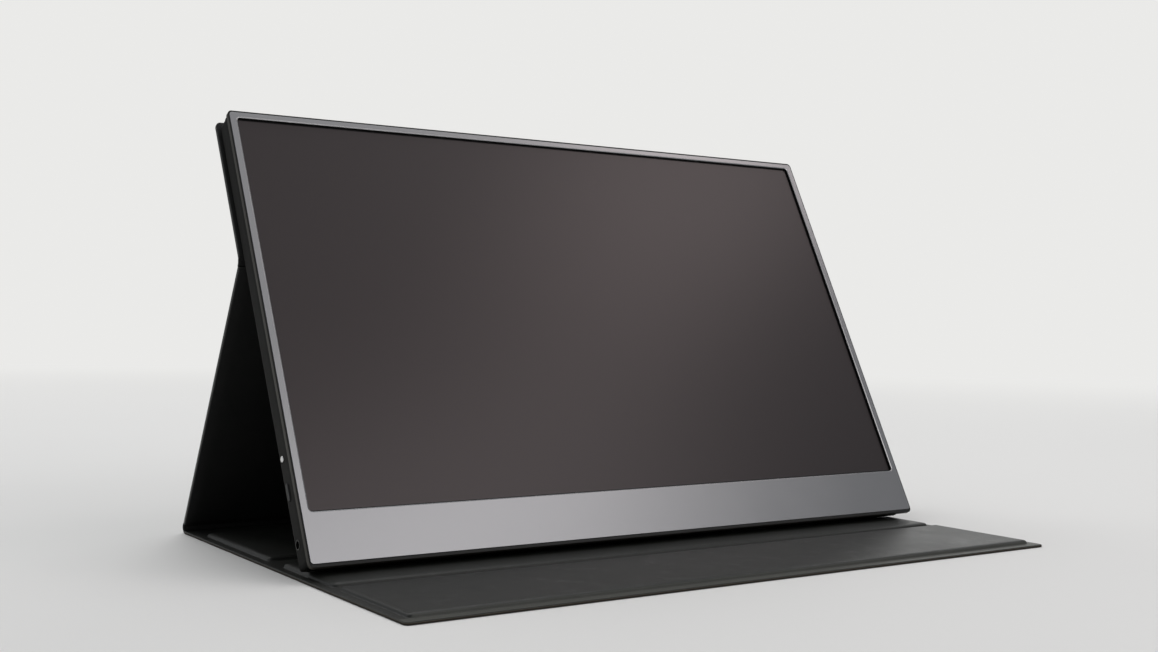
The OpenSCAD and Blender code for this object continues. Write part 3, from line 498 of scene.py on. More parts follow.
# Every finish by name: how it is made, and its looks; grain and depth in mm
finishLooks = {
    "satinAluminium": (makeSatinMetal, dict(
        dark=(0.234, 0.235, 0.243), light=(0.277, 0.278, 0.287), grain=0.12, rough=0.31)),
    "cutEdgeMetal": (makeCutMetal, dict(
        dark=(0.27, 0.27, 0.275), light=(0.33, 0.33, 0.335), grain=0.25, rough=0.22)),
    "frameGrey": (makeMouldedPlastic, dict(
        dark=(0.0022, 0.0022, 0.0015), light=(0.0046, 0.0045, 0.0034),
        grain=0.16, rough=0.52, depth=0.02, gloss=0.07)),
    "shellBlack": (makeMouldedPlastic, dict(
        dark=(0.0045, 0.0044, 0.0036), light=(0.0080, 0.0078, 0.0064),
        grain=0.3, rough=0.56, depth=0.03, gloss=0.10)),
    # black of the face plate's window wall: partly the plate's black edge, partly painted shade of the recess
    "recessBlackAndShade": (makeMouldedPlastic, dict(
        dark=(0.003, 0.003, 0.003), light=(0.006, 0.006, 0.006), grain=0.12, rough=0.6)),
    "chipEpoxy": (makeMouldedPlastic, dict(
        dark=(0.008, 0.008, 0.009), light=(0.016, 0.016, 0.017), grain=0.10, rough=0.55)),
    "speakerPlastic": (makeMouldedPlastic, dict(
        dark=(0.010, 0.010, 0.011), light=(0.020, 0.020, 0.021), grain=0.25, rough=0.48)),
    "switchPlastic": (makeMouldedPlastic, dict(
        dark=(0.40, 0.40, 0.38), light=(0.52, 0.52, 0.49), grain=0.20, rough=0.42)),
    "rockerPlastic": (makeMouldedPlastic, dict(
        dark=(0.018, 0.0185, 0.019), light=(0.030, 0.031, 0.032),
        grain=0.12, rough=0.46, depth=0.02, gloss=0.22)),
    "outerLeather": (makeLeather, dict(
        dark=(0.017, 0.018, 0.0155), light=(0.031, 0.0325, 0.028), grain=0.42, rough=0.50, depth=0.05)),
    "frontLining": (makeLeather, dict(
        dark=(0.0115, 0.0122, 0.0108), light=(0.021, 0.0225, 0.0198), grain=0.34, rough=0.44, depth=0.04)),
    # a lighter copy of the front lining for the front hem strip: painted highlight
    "hemHighlightLining": (makeLeather, dict(
        dark=(0.040, 0.041, 0.0355), light=(0.068, 0.070, 0.061), grain=0.34, rough=0.50, depth=0.03)),
    # a darker copy of the lining for the leg and back panel, which face the shaded tunnel behind the monitor:
    # painted shade
    "shadedBackLining": (makeLeather, dict(
        dark=(0.004, 0.0042, 0.0040), light=(0.009, 0.0092, 0.0088), grain=0.36, rough=0.60, depth=0.04)),
    # cut edge: its dark core is partly painted shade, its paler top line partly the lining's edge and partly
    # painted highlight
    "cutFibre": (makeCutFibre, dict(
        dark=(0.012, 0.009, 0.006), light=(0.030, 0.022, 0.014),
        liningAndHighlightDark=(0.075, 0.066, 0.050), liningAndHighlightLight=(0.125, 0.112, 0.088), liningAndHighlightFrom=0.754, liningAndHighlightTo=0.962)),
    "gasketFoam": (makeFoam, dict(dark=(0.002, 0.002, 0.002), light=(0.008, 0.008, 0.008), grain=0.35)),
    "rolledSteel": (makeRolledMetal, dict(
        dark=(0.42, 0.42, 0.43), light=(0.58, 0.58, 0.60), along=(0.08, 1, 1), grain=0.5, rough=0.36)),
    "platedSteel": (makeRolledMetal, dict(
        dark=(0.50, 0.49, 0.47), light=(0.64, 0.63, 0.61), along=(0.3, 1, 1), grain=0.2, rough=0.28)),
    "screwSteel": (makeRolledMetal, dict(
        dark=(0.30, 0.30, 0.31), light=(0.46, 0.46, 0.47), along=(1, 1, 1), grain=0.3, rough=0.32)),
    "magnetNickel": (makeRolledMetal, dict(
        dark=(0.55, 0.54, 0.52), light=(0.70, 0.69, 0.67), along=(1, 1, 1), grain=0.4, rough=0.18)),
    "jackMetal": (makeRolledMetal, dict(
        dark=(0.030, 0.031, 0.028), light=(0.055, 0.056, 0.050), along=(1, 1, 1), grain=0.3, rough=0.34)),
    "giltContacts": (makeRolledMetal, dict(
        dark=(0.72, 0.50, 0.20), light=(0.86, 0.64, 0.30), along=(0.2, 1, 1), grain=0.2, rough=0.24)),
    "diffuserFilm": (makeFilm, dict(
        dark=(0.70, 0.70, 0.69), light=(0.80, 0.80, 0.79), rough=0.45, gloss=0.4)),
    "reflectorFilm": (makeFilm, dict(
        dark=(0.78, 0.79, 0.80), light=(0.88, 0.89, 0.90), rough=0.25, gloss=0.6)),
    "panelGlass": (makeClearSheet, dict(dark=(0.10, 0.12, 0.11), light=(0.16, 0.18, 0.17), rough=0.06)),
    "guideAcrylic": (makeClearSheet, dict(dark=(0.80, 0.88, 0.90), light=(0.90, 0.95, 0.97), rough=0.10)),
    "circuitBoard": (makeCircuitBoard, dict(
        dark=(0.006, 0.045, 0.018), light=(0.012, 0.085, 0.034), tin=(0.55, 0.53, 0.48),
        trackWide=0.3, viaGap=2.6)),
    "flexCopper": (makeFlexCopper, dict(dark=(0.28, 0.11, 0.02), light=(0.42, 0.20, 0.05), lineWide=0.25)),
    "ledTape": (makeLedTape, dict(
        dark=(0.62, 0.62, 0.59), light=(0.74, 0.74, 0.71), chipGap=3.5, chipColour=(0.75, 0.60, 0.10))),
    "pressedBoard": (makePressedBoard, dict(
        dark=(0.17, 0.14, 0.10), light=(0.30, 0.25, 0.185), fleckColour=(0.09, 0.075, 0.055))),
}
finishes = {name: make(name, **look) for name, (make, look) in finishLooks.items()}
print("stage:", len(finishes), "finishes made")


def roundedLoop(half, low, high, radius, steps):
    # points of a rounded rectangle, counter-clockwise from its lower right corner
    points = []
    for side, level, start in ((1, low + radius, -90), (1, high - radius, 0),
                               (-1, high - radius, 90), (-1, low + radius, 180)):
        for k in range(steps + 1):
            turn = math.radians(start + 90.0 * k / steps)
            points.append((side * (half - radius) + radius * math.cos(turn), level + radius * math.sin(turn)))
    return points


def insideRounded(x, y, half, low, high, radius):
    # distance inside a rounded rectangle, negative outside
    dx = abs(x) - (half - radius)
    dy = max(low + radius - y, y - high + radius)
    outside = math.hypot(max(dx, 0.0), max(dy, 0.0))
    return radius - outside - min(max(dx, dy), 0.0)


def bridge(form, first, second, index=0):
    # a closed band of faces between two rings of as many corners
    for k in range(len(first)):
        n = (k + 1) % len(first)
        form.faces.new((first[k], first[n], second[n], second[k])).material_index = index


def markSharp(piece, degrees):
    # edges steeper than this keep a crisp line
    form = bmesh.new()
    form.from_mesh(piece.data)
    for line in form.edges:
        if len(line.link_faces) == 2:
            line.smooth = line.calc_face_angle(0.0) < math.radians(degrees)
    form.to_mesh(piece.data)
    form.free()


# Front plate: a thin rounded sheet, with a bright cut round its window
plateSizes = {
    "rim": 1.5,  # all of the window lies further in than this
    "windowDrop": 0.6,  # the window's low edge below that of the plate's solid
    "drop": 0.6,  # the chin's low edge below it
    "lip": 0.32,  # room left for the bead around the plate
    "outerRadius": 1.5,
    "windowRadius": 1.8,
    "edgeBreak": 0.1,
    "bevelWide": 0.5,
    "bevelDeep": 0.18,
    "bevelCurl": 0.012,  # how far its outer edge is rolled over
    "arcSteps": 10,
    "crisp": 5,  # degrees
}
plateCorners = [fromScreen(vertex.co) for vertex in nodes["front_plate"].data.vertices]
halfPlate = max(x for x, _, _ in plateCorners)
plateTop = max(v for _, _, v in plateCorners)
plateFoot = min(v for _, _, v in plateCorners)


def windowSize(sizes):
    # half width, low and high edge of the window
    rim = sizes["rim"]
    inner = [(abs(x), v) for x, _, v in plateCorners
             if abs(x) < halfPlate - rim and plateFoot + rim < v < plateTop - rim]
    levels = [v for _, v in inner]
    return max(x for x, _ in inner), min(levels) - sizes["windowDrop"], max(levels)


winHalf, winLow, winHigh = windowSize(plateSizes)
plateFoot -= plateSizes["drop"]


def makeFrontPlate(sizes):
    thick = (span("front_plate", screenIn)[1] - faceDepth) / mm
    steps, edge, wide, deep = sizes["arcSteps"], sizes["edgeBreak"], sizes["bevelWide"], sizes["bevelDeep"]

    def outer(inset):
        inset += sizes["lip"]
        radius = sizes["outerRadius"] + sizes["lip"] - inset
        return roundedLoop(halfPlate - inset, plateFoot + inset, plateTop - inset, radius, steps)

    def window(grow):
        return roundedLoop(winHalf + grow, winLow - grow, winHigh + grow, sizes["windowRadius"] + grow, steps)

    # outline, depth, and the finish of the band that follows it
    # the band from the window's back edge to the bevel is its inner wall, in black: partly the plate's black
    # edge, partly painted shade of the recess
    rings = [
        (window(0.0), thick, 2), (window(0.0), deep, 1), (window(wide * 0.88), sizes["bevelCurl"], 1),
        (window(wide), 0.0, 0), (outer(edge), 0.0, 0), (outer(edge * 0.3), edge * 0.3, 0),
        (outer(0.0), edge, 0), (outer(0.0), thick, 0),
    ]
    form = bmesh.new()
    made = [[form.verts.new(onScreen(x, depth, v)) for x, v in loop] for loop, depth, _ in rings]
    for ring, after, (_, _, index) in zip(made, made[1:] + made[:1], rings):
        bridge(form, ring, after, index)
    bmesh.ops.recalc_face_normals(form, faces=form.faces)
    plateFinishes = ("satinAluminium", "cutEdgeMetal", "recessBlackAndShade")
    piece = newPiece("facePlate", form, *(finishes[name] for name in plateFinishes))
    markSharp(piece, sizes["crisp"])
    return piece


facePlate = makeFrontPlate(plateSizes)
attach(facePlate, "monitor")
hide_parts("front_plate")
print("stage: face plate made")

# Bead: the lip of the frame that follows the outline of the face plate
beadSizes = {
    "groove": 0.13,
    "proud": 0.16,
    "foot": 2.6,
    "outside": 0.06,
    "round": 0.17,
    "over": 0.25,  # thicker along the top
    "under": 0.95,  # and along the bottom
    "cornerSteps": 12,
    "turnSteps": 4,
    "crisp": 50,
}
# bead tones: the face's are painted shade, the side's painted light
beadLook = {
    "shadedFaceDark": (0.006, 0.006, 0.0055),
    "shadedFaceLight": (0.012, 0.012, 0.011),
    "litSideDark": (0.027, 0.025, 0.019),
    "litSideLight": (0.044, 0.041, 0.033),
    "grain": 0.2,
    "litSideFrom": (0.24, 0.36),  # mm behind the face where the side's painted light sets in
    "rough": 0.42,
}


def makeBeadPlastic(look):
    # painted shade: dark on the face; painted light: a lighter, warmer grey round the side
    paint = Paint("beadPlastic", Specular_IOR_Level=0.25)
    where = paint.place()
    speck = paint.cells(where, look["grain"])
    rub = paint.noise(paint.place(0.2, 0.2, 0.2), 1.6, 4.0, 0.6)
    face = paint.mix(look["shadedFaceDark"], look["shadedFaceLight"], speck)
    side = paint.mix(look["litSideDark"], look["litSideLight"], rub * 0.7 + speck * 0.3)
    # painted shade on the face, painted light from just behind it round the side
    colour = paint.mix(face, side, paint.behindFace(where).smooth(*look["litSideFrom"]))
    return paint.finish(colour, look["rough"] + rub * 0.1, paint.bump(speck, 0.01))


def closeUp(piece):
    # weld the seam of a swept form, turn its faces outward and shade it smooth
    form = bmesh.new()
    form.from_mesh(piece.data)
    bmesh.ops.remove_doubles(form, verts=form.verts, dist=1e-7)
    bmesh.ops.recalc_face_normals(form, faces=form.faces)
    for face in form.faces:
        face.smooth = True
    form.to_mesh(piece.data)
    form.free()


def makeBead(sizes, material):
    halfFrame = span("mid_frame", acrossAxis)[1] / mm
    reach = halfFrame - halfPlate + sizes["outside"]
    lip = plateSizes["lip"] - sizes["groove"]
    radius = plateSizes["outerRadius"]
    graph = Graph("beadPath")
    wide = graph.length("Path Width", 2 * halfPlate + reach - lip)
    tall = graph.length("Path Height", plateTop - plateFoot + reach - lip)
    turn = graph.length("Corner Radius", radius + (lip + reach) * 0.5)
    across = graph.length("Bead Width", lip + reach)
    deep = graph.length("Bead Depth", sizes["foot"] - sizes["proud"])
    curl = graph.length("Bead Rounding", sizes["round"])
    middle = onScreen(0, (sizes["foot"] + sizes["proud"]) * 0.5, (plateFoot + plateTop) * 0.5)
    shift = graph.triple("Place", tuple(middle))
    tilt = graph.triple("Tilt", (screenTilt, 0.0, 0.0))
    path = graph.roundedFrame(wide, tall, sizes["cornerSteps"], turn)
    path = graph.node("GeometryNodeSetCurveNormal", {"Curve": path}, "Curve", mode="Z_UP")
    section = graph.roundedFrame(across, deep, sizes["turnSteps"], curl, **{"Limit Radius": True})
    body = graph.node("GeometryNodeCurveToMesh", {"Curve": path, "Profile Curve": section}, "Mesh")
    moves = {"Geometry": body, "Translation": shift, "Rotation": tilt}
    piece = graph.grow("plateBead", graph.node("GeometryNodeTransform", moves, "Geometry"), material)
    closeUp(piece)
    for vertex in piece.data.vertices:
        x, _, v = fromScreen(vertex.co)
        outside = -insideRounded(x, v, halfPlate, plateFoot, plateTop, radius + plateSizes["lip"])
        if outside > (reach - lip) / 2:
            below = min(max((plateFoot + radius - v) / (radius + reach), 0), 1)
            above = min(max((v - plateTop + radius) / (radius + reach), 0), 1)
            vertex.co += screenUp * mm * (sizes["over"] * above - sizes["under"] * below)
    markSharp(piece, sizes["crisp"])
    return piece


plateBead = makeBead(beadSizes, makeBeadPlastic(beadLook))
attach(plateBead, "monitor")
print("stage: bead made,", len(plateBead.data.polygons), "faces")

# Anti-glare coat over the display, with a black border round it: partly the cells' own black border, partly
# painted shade of the recess
coatLook = {
    "borderAndShade": 1.0,
    "soft": 0.06,
    "dark": (0.0076, 0.0050, 0.0056),
    "light": (0.0100, 0.0070, 0.0076),
    "borderAndShadeColour": (0.0022, 0.0022, 0.0024),
    "glint": (1.0, 0.90, 0.91),
    "sparkle": 0.09,
    "rough": 0.32,
}


def makeScreenCoat(look):
    paint = Paint("antiGlareCoat", IOR=1.5, Specular_IOR_Level=0.5, Specular_Tint=look["glint"])
    where = paint.place()
    sparkle = paint.noise(where, look["sparkle"], 1.0)
    up = paint.aboveFoot(where)
    past = paint.maths("MAXIMUM", up - winHigh, winLow - up)
    past = paint.maths("MAXIMUM", abs(paint.axis(where, "X")) - winHalf, past)
    # a black band inside the window's edge: partly the cells' own border, partly painted shade of the recess
    borderAndShade = past.past(-look["borderAndShade"], look["soft"])
    lit = paint.mix(look["dark"], look["light"], paint.noise(where, 60.0, 3.0))
    colour = paint.mix(lit, look["borderAndShadeColour"], borderAndShade)
    roughness = look["rough"] + (sparkle - 0.5) * 0.06 - borderAndShade * 0.04
    return paint.finish(colour, roughness, paint.bump(sparkle, 0.003, 0.35))


finishes["screenCoat"] = makeScreenCoat(coatLook)


# Cover: a soft sheet over boards, swept along the line that its folds make
coverSizes = {
    "hem": 1.3,  # welded edge
    "full": 3.2,  # over a board
    "spine": 1.7,  # over the spine's board
    "padLap": 0.9,  # lining beyond a board's sides
    "endLap": 0.8,  # and beyond its ends
    "padRise": 2.4,  # width of a pad's soft edge
    "foot": 0.7,  # width of the press line at its foot
    "press": 0.22,  # share of the soft edge that this line takes
    "shoulder": (2.3, 0.6),  # powers of its round shoulder
    "topRim": 0.3,  # rounding of the edge, lining side
    "lowRim": 0.3,  # rounding of the edge, outer side
    "rimShare": 0.46,  # most of the thickness that a rounding takes
    "padCorner": 1.8,
    "corner": 2.2,
    "cornerSteps": 8,
    "band": 6.0,  # the sheet is drawn in at its corners within this much of its sides
    "sink": 0.10,  # unevenness of the pads
    "sinkScale": (0.016, 0.03),  # waves in a mm, across and along
    "crown": 0.06,  # how much lower a pad lies along its edges
    "crownReach": 14.0,
    "ripple": 0.05,  # small waves of the hem
    "rippleScale": (0.05, 0.2),
    "rippleLayer": 7.3,
    "widest": 7.0,  # largest mesh cell
    "nearest": (0.07, 0.06),  # gaps between stations, before and after the corners' own are added
    "swell": 0.36,  # fullness of the middle pad, where the monitor stands
    "swellReach": 9.0,
    "ahead": 4.4,  # how far that pad runs on past its board to the flap's fold
    "beyond": 12,  # how far a pad without an edge runs on past the sheet
    "seed": 11,
}
# the leg and the back panel are wrapped to their edges, without a welded margin
wrapped = dict(coverSizes, topRim=0.45, lowRim=1.2, seed=23)
foldSizes = {
    "flapTurn": (0.6, -3.4),  # the flap bends between these distances from its fold
    "flapStop": 0.8,  # gap between the stations there
    "rearCurve": 3.3,  # the leather's own bend at the rear fold
    "rearStop": 0.5,
    "rearTurn": (0.08, 0.62),  # shares of a bend between which the leather turns
    "backCurve": 2.6,
    "backStop": 0.32,
    "backTurn": (0.1, 0.9),
    "split": 2.7,  # the leg ends this far before the back fold
    "legGaps": (0.8, 2.0),  # from the folds to the pad on the leg
    "panelGaps": (0.3, 0.5),
}
stationSteps = (-1.6, -0.9, -0.5, -0.3, -0.12, 0.05, 0.22, 0.42, 0.68, 1.0, 1.4, 1.8, 2.4, 3.4, 5.2)
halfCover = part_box("base_skin")[1].x / mm
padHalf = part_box("base_board_mid")[1].x / mm + coverSizes["padLap"]


class FoldLine:
    # a line in the Y-Z plane made of straights and arcs; a turn to the left is positive
    def __init__(self, y, z, heading):
        self.start = (y, z, heading)
        self.parts = []
        self.length = 0.0

    def straight(self, length):
        self.parts.append((self.length, length, 0.0))
        self.length += length
        return self

    def arc(self, radius, degrees):
        length = radius * math.radians(abs(degrees))
        self.parts.append((self.length, length, math.radians(degrees) / length))
        self.length += length
        return self

    def at(self, s):
        # point and left normal at a distance along the line, which runs on past both ends
        y, z, heading = self.start
        for begin, length, curl in self.parts:
            run = max(s - begin, 0.0) if begin else s
            if begin != self.parts[-1][0]:
                run = min(run, length)
            if curl == 0.0:
                y += run * math.cos(heading)
                z += run * math.sin(heading)
            else:
                turned = heading + curl * run
                y += (math.sin(turned) - math.sin(heading)) / curl
                z += (math.cos(heading) - math.cos(turned)) / curl
                heading = turned
        return (y, z), (-math.sin(heading), math.cos(heading))

    def stops(self, gap, count):
        # stations from the start of its bend
        return [self.parts[1][0] + k * gap for k in range(count)]

    def chord(self, *shares):
        # places between the ends of its bend, in metres
        (y, z), (farY, farZ) = (self.at(begin)[0] for begin, _, _ in self.parts[1:])
        across = Vector((0, farY - y, farZ - z))
        return [tuple((Vector((0, y, z)) + across * share) * mm) for share in shares]


def apart(values, least):
    # the values in order, without those too close to the one before
    ordered = sorted({round(value, 4) for value in values})
    kept = ordered[:1]
    for value in ordered[1:]:
        if value - kept[-1] > least or value == ordered[-1]:
            kept.append(value)
    return kept


def gridLines(low, high, edges, sizes):
    # stations from low to high, close together at each soft edge; +1 edges rise upwards
    near = [at + side * step for at, side in edges for step in stationSteps]
    inside = [value for value in near if low < value < high]
    full = []
    for value in apart([low, high] + inside, sizes["nearest"][0]):
        begin = full[-1] if full else value
        cuts = int(math.ceil((value - begin) / sizes["widest"]))
        full += [begin + (value - begin) * k / cuts for k in range(1, cuts + 1)] or [value]
    return full


def ease(t):
    t = min(max(t, 0.0), 1.0)
    return t * t * (3 - 2 * t)


def rise(distance, sizes):
    # 0 on the hem, 1 on the pad, with a pressed foot and a round shoulder
    t = (distance + sizes["foot"]) / (sizes["padRise"] + sizes["foot"])
    if t <= 0 or t >= 1:
        return float(t >= 1)
    turn, full = sizes["shoulder"]
    return ease(t / sizes["press"]) * (1 - (1 - t) ** turn) ** full


def makeCover(name, line, pads, looks, sizes, ends, extra):
    # pads: (half width, low, high, height, swell)
    # ends: corner radius and whether it is a cut end, for the low end and the high end
    limits = ((ends[0][0], 0.0, 1), (ends[1][0], line.length, -1))
    quarters = [math.radians(90 * k / sizes["cornerSteps"]) for k in range(1, sizes["cornerSteps"] + 1)]
    turns = [(s + side * radius * (1 - math.cos(quarter)), side)
             for radius, s, side in limits if radius > 0 for quarter in quarters]
    edges = [(pad[1], 1) for pad in pads] + [(pad[2], -1) for pad in pads]
    edges += [(s - side * stationSteps[0], side) for s, side in turns]
    stations = gridLines(0.0, line.length, edges, sizes)
    along = apart(stations + [s for s, _ in turns] + extra, sizes["nearest"][1])
    halfPad = max(pad[0] for pad in pads)
    cols = gridLines(-halfCover, halfCover, [(-halfPad, 1), (halfPad, -1)], sizes)
    nx, ny = len(cols), len(along)
    random.seed(sizes["seed"])
    shift = Vector((random.uniform(0, 50), random.uniform(0, 50), random.uniform(0, 50)))

    def plan(x, s):
        # drawn in where the sheet's corners are round
        half, inner = halfCover, halfCover - sizes["band"]
        for radius, end, side in limits:
            reach = (s - end) * side
            if radius > 0 and reach < radius:
                half -= radius - math.sqrt(max(radius * radius - (radius - reach) ** 2, 0.0))
        if abs(x) > inner:
            x = math.copysign(inner + (abs(x) - inner) * (half - inner) / sizes["band"], x)
        return x, s

    def uneven(x, s, scale, layer):
        return noise.noise(Vector((x * scale[0], s * scale[1], layer)) + shift)

    def topAt(x, s):
        top = sizes["hem"]
        for half, first, last, height, fuller in pads:
            inside = insideRounded(x, s, half, first, last, sizes["padCorner"])
            grown = rise(inside, sizes)
            height += fuller * ease(inside / sizes["swellReach"])
            sunk = sizes["sink"] * grown * (0.5 + 0.5 * uneven(x, s, sizes["sinkScale"], 0))
            crown = sizes["crown"] * grown * (1 - ease(inside / sizes["crownReach"]))
            top = max(top, sizes["hem"] + (height - sizes["hem"]) * grown - sunk - crown)
        ripple = sizes["ripple"] * uneven(x, s, sizes["rippleScale"], sizes["rippleLayer"])
        return top + min(ripple, 0.0)

    form = bmesh.new()

    def place(spot, level):
        x, s = spot
        (y, z), (outY, outZ) = line.at(s)
        return form.verts.new((x * mm, (y + outY * level) * mm, (z + outZ * level) * mm))

    flat = [[plan(x, s) for s in along] for x in cols]
    loop = [(i, 0) for i in range(nx)] + [(nx - 1, j) for j in range(1, ny)]
    loop += [(i, ny - 1) for i in range(nx - 2, -1, -1)] + [(0, j) for j in range(ny - 2, 0, -1)]
    outward = {}
    for before, spot, after in zip(loop[-1:] + loop, loop, loop[1:] + loop[:1]):
        (ax, ay), (bx, by) = flat[before[0]][before[1]], flat[after[0]][after[1]]
        tangent = Vector((bx - ax, by - ay)).normalized()
        outward[spot] = (tangent.y, -tangent.x)

    def runsOn(j):
        # an end that goes on into its neighbour keeps its square edge
        return (j == 0 and not ends[0][1]) or (j == ny - 1 and not ends[1][1])

    def inset(i, j, amount):
        x, s = flat[i][j]
        if runsOn(j):
            return x + ((i == 0) - (i == nx - 1)) * amount, s
        outX, outS = outward.get((i, j), (0, 0))
        return x - outX * amount, s - outS * amount

    def rims(i, j):
        room = sizes["rimShare"] * topAt(*flat[i][j])
        return min(sizes["topRim"], room), min(sizes["lowRim"], room)

    tops, lows = {}, {}
    for i in range(nx):
        for j in range(ny):
            topSpot, lowSpot = (inset(i, j, rim) for rim in rims(i, j))
            tops[i, j] = place(topSpot, topAt(*topSpot))
            lows[i, j] = place(lowSpot, 0.0)
    for i in range(nx - 1):
        for j in range(ny - 1):
            a, b, c, d = (i, j), (i + 1, j), (i + 1, j + 1), (i, j + 1)
            face = form.faces.new((tops[a], tops[b], tops[c], tops[d]))
            # the front hem strip takes the fourth finish, a lighter copy of the lining: painted highlight
            if len(looks) > 3 and along[j] < pads[0][1]:
                face.material_index = 3
            form.faces.new((lows[a], lows[d], lows[c], lows[b])).material_index = 2
    rings = [[tops[k] for k in loop]]
    for degrees, under in ((30, 0), (60, 0), (90, 0), (90, 1), (60, 1), (30, 1)):
        out, drop = math.sin(math.radians(degrees)), 1 - math.cos(math.radians(degrees))
        ring = []
        for i, j in loop:
            rim = rims(i, j)[under]
            fall = 0.0 if runsOn(j) and 0 < i < nx - 1 else rim * drop
            level = fall if under else topAt(*inset(i, j, rim)) - fall
            ring.append(place(inset(i, j, rim * (1 - out)), level))
        rings.append(ring)
    rings.append([lows[k] for k in loop])
    for first, second, index in zip(rings, rings[1:], (0, 0, 0, 1, 2, 2, 2)):
        bridge(form, first, second, index)
    bmesh.ops.remove_doubles(form, verts=form.verts, dist=1e-7)
    bmesh.ops.recalc_face_normals(form, faces=form.faces)
    return newPiece(name, form, *(finishes[look] for look in looks))


# Places of the folds, from the joints
rearFold, backFold, flapFold = (
    Vector(joints[name]["pos_m"]) / mm for name in ("leg_fold", "back_fold", "flap_fold"))
rearRadius = rearFold.z
backRadius = span("back_skin", screenIn)[1] / mm - backFold.dot(screenIn)
legReach = Vector((backFold.y - rearFold.y, backFold.z - rearFold.z))
legLength = math.sqrt(legReach.length ** 2 - (rearRadius - backRadius) ** 2)
legHeading = math.degrees(
    math.atan2(legReach.y, legReach.x) + math.atan2(rearRadius - backRadius, legLength))

# Table part: flap, middle, rear and spine in one sheet
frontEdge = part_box("flap_skin")[0].y / mm
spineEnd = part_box("base_skin")[1].y / mm
tableLine = FoldLine(frontEdge, 0.0, 0.0).straight(spineEnd - frontEdge)


def boardPad(node, height, swell=0.0, ahead=0.0):
    low, high = (corner.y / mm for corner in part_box(node))
    lap = coverSizes["endLap"]
    return (padHalf, low - lap - ahead - frontEdge, high + lap - frontEdge, height, swell)


tablePads = [
    boardPad("flap_board", coverSizes["full"]),
    boardPad("base_board_mid", coverSizes["full"], coverSizes["swell"], coverSizes["ahead"]),
    boardPad("base_board_rear", coverSizes["full"]),
    boardPad("spine_board", coverSizes["spine"]),
]
flapStops = [flapFold.y - frontEdge + step * foldSizes["flapStop"] for step in range(-5, 3)]
tableCover = makeCover(
    "tableCover", tableLine, tablePads, ("frontLining", "cutFibre", "outerLeather", "hemHighlightLining"),
    coverSizes, ((coverSizes["corner"], True), (0.0, False)), flapStops)
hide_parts("base_skin", "base_lining", "flap_crease", "flap_skin", "flap_lining")
flapStart, flapEnd = ((0, (flapFold.y + turn) * mm, 0) for turn in foldSizes["flapTurn"])
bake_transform(tableCover)
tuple(flapStart)
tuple(flapEnd)

# Leg: from the spine round the rear fold and up to the back fold
# the lining side of the leg and back panel takes the darker copy of the lining: painted shade
wrapLooks = ("shadedBackLining", "outerLeather", "outerLeather")
openEnd = (0.0, False)
legSplit = legLength - foldSizes["split"]
early = (foldSizes["rearCurve"] - rearRadius) * math.tan(math.radians(legHeading / 2))
legRoute = FoldLine(spineEnd, 0.0, 0.0).straight(rearFold.y - spineEnd - early)
legRoute.arc(foldSizes["rearCurve"], legHeading).straight(legSplit - early)
legFrom = legRoute.parts[2][0]
lowGap, highGap = foldSizes["legGaps"]
legPads = [(halfCover + coverSizes["beyond"], legFrom + lowGap,
            legFrom + legLength - early - highGap, coverSizes["full"], 0.0)]
legCover = makeCover("legCover", legRoute, legPads, wrapLooks, wrapped, (openEnd, openEnd),
                     legRoute.stops(foldSizes["rearStop"], 16))
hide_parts("leg_skin", "leg_lining", "rear_crease")
legStart, legEnd = legRoute.chord(*foldSizes["rearTurn"])
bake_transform(legCover)
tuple(legStart)
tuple(legEnd)

# Back panel: from the leg round the back fold and up behind the monitor
bend = legHeading - math.degrees(screenTilt)
slant = math.tan(math.radians(bend / 2))
# the outer faces meet this far below the back fold, along the leg
meet = backRadius * slant
(splitY, splitZ), _ = legRoute.at(legRoute.length)
backRoute = FoldLine(splitY, splitZ, math.radians(legHeading))
backRoute.straight(legLength - meet - foldSizes["backCurve"] * slant - legSplit)
backRoute.arc(foldSizes["backCurve"], -bend)
panelEnd = span("back_skin", screenUp)[1] / mm
backRoute.straight(panelEnd - Vector((0, *backRoute.at(backRoute.length)[0])).dot(screenUp))
lowGap, padGap = foldSizes["panelGaps"]
panelLow = backFold.dot(screenUp) + backRadius + lowGap
lowAt = backRoute.length - (panelEnd - panelLow)
backPads = [(halfCover + coverSizes["beyond"], lowAt + padGap,
             backRoute.length + coverSizes["beyond"], coverSizes["full"], 0.0)]
backCover = makeCover("backCover", backRoute, backPads, wrapLooks, wrapped,
                      (openEnd, (coverSizes["corner"], True)), backRoute.stops(foldSizes["backStop"], 9))
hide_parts("back_skin", "back_lining", "back_crease")
backStart, backEnd = backRoute.chord(*foldSizes["backTurn"])
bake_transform(backCover)
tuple(backStart)
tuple(backEnd)
print("stage: cover made")


# Side controls: a turned power button and a smooth menu rocker
controlSizes = {
    "buttonRadius": 1.4,
    "buttonChamfer": 0.28,
    "buttonDish": 0.07,
    "rockerChamfer": 0.315,
    "rockerDish": 0.05,
    "rockerDeep": 1.6,
    "flangeLap": 0.5,
    "flangeThick": 0.5,
    "keyPocket": (3.2, 2.0, 0.55),  # the dish's floor and slope in chamfers, and how deep the slope is
    "roundOff": ((1.0, 0.0), (0.62, 0.12), (0.3, 0.34), (0.08, 0.68), (0.0, 1.0)),  # in chamfers
    "segments": 48,
    "crisp": 38,
}
powerLook = {
    "dark": (0.62, 0.62, 0.61),
    "light": (0.80, 0.80, 0.79),
    "pitch": 0.16,
    "rough": 0.22,
}
faceSkin = 0.02  # corners this near the outermost one lie on the outer face


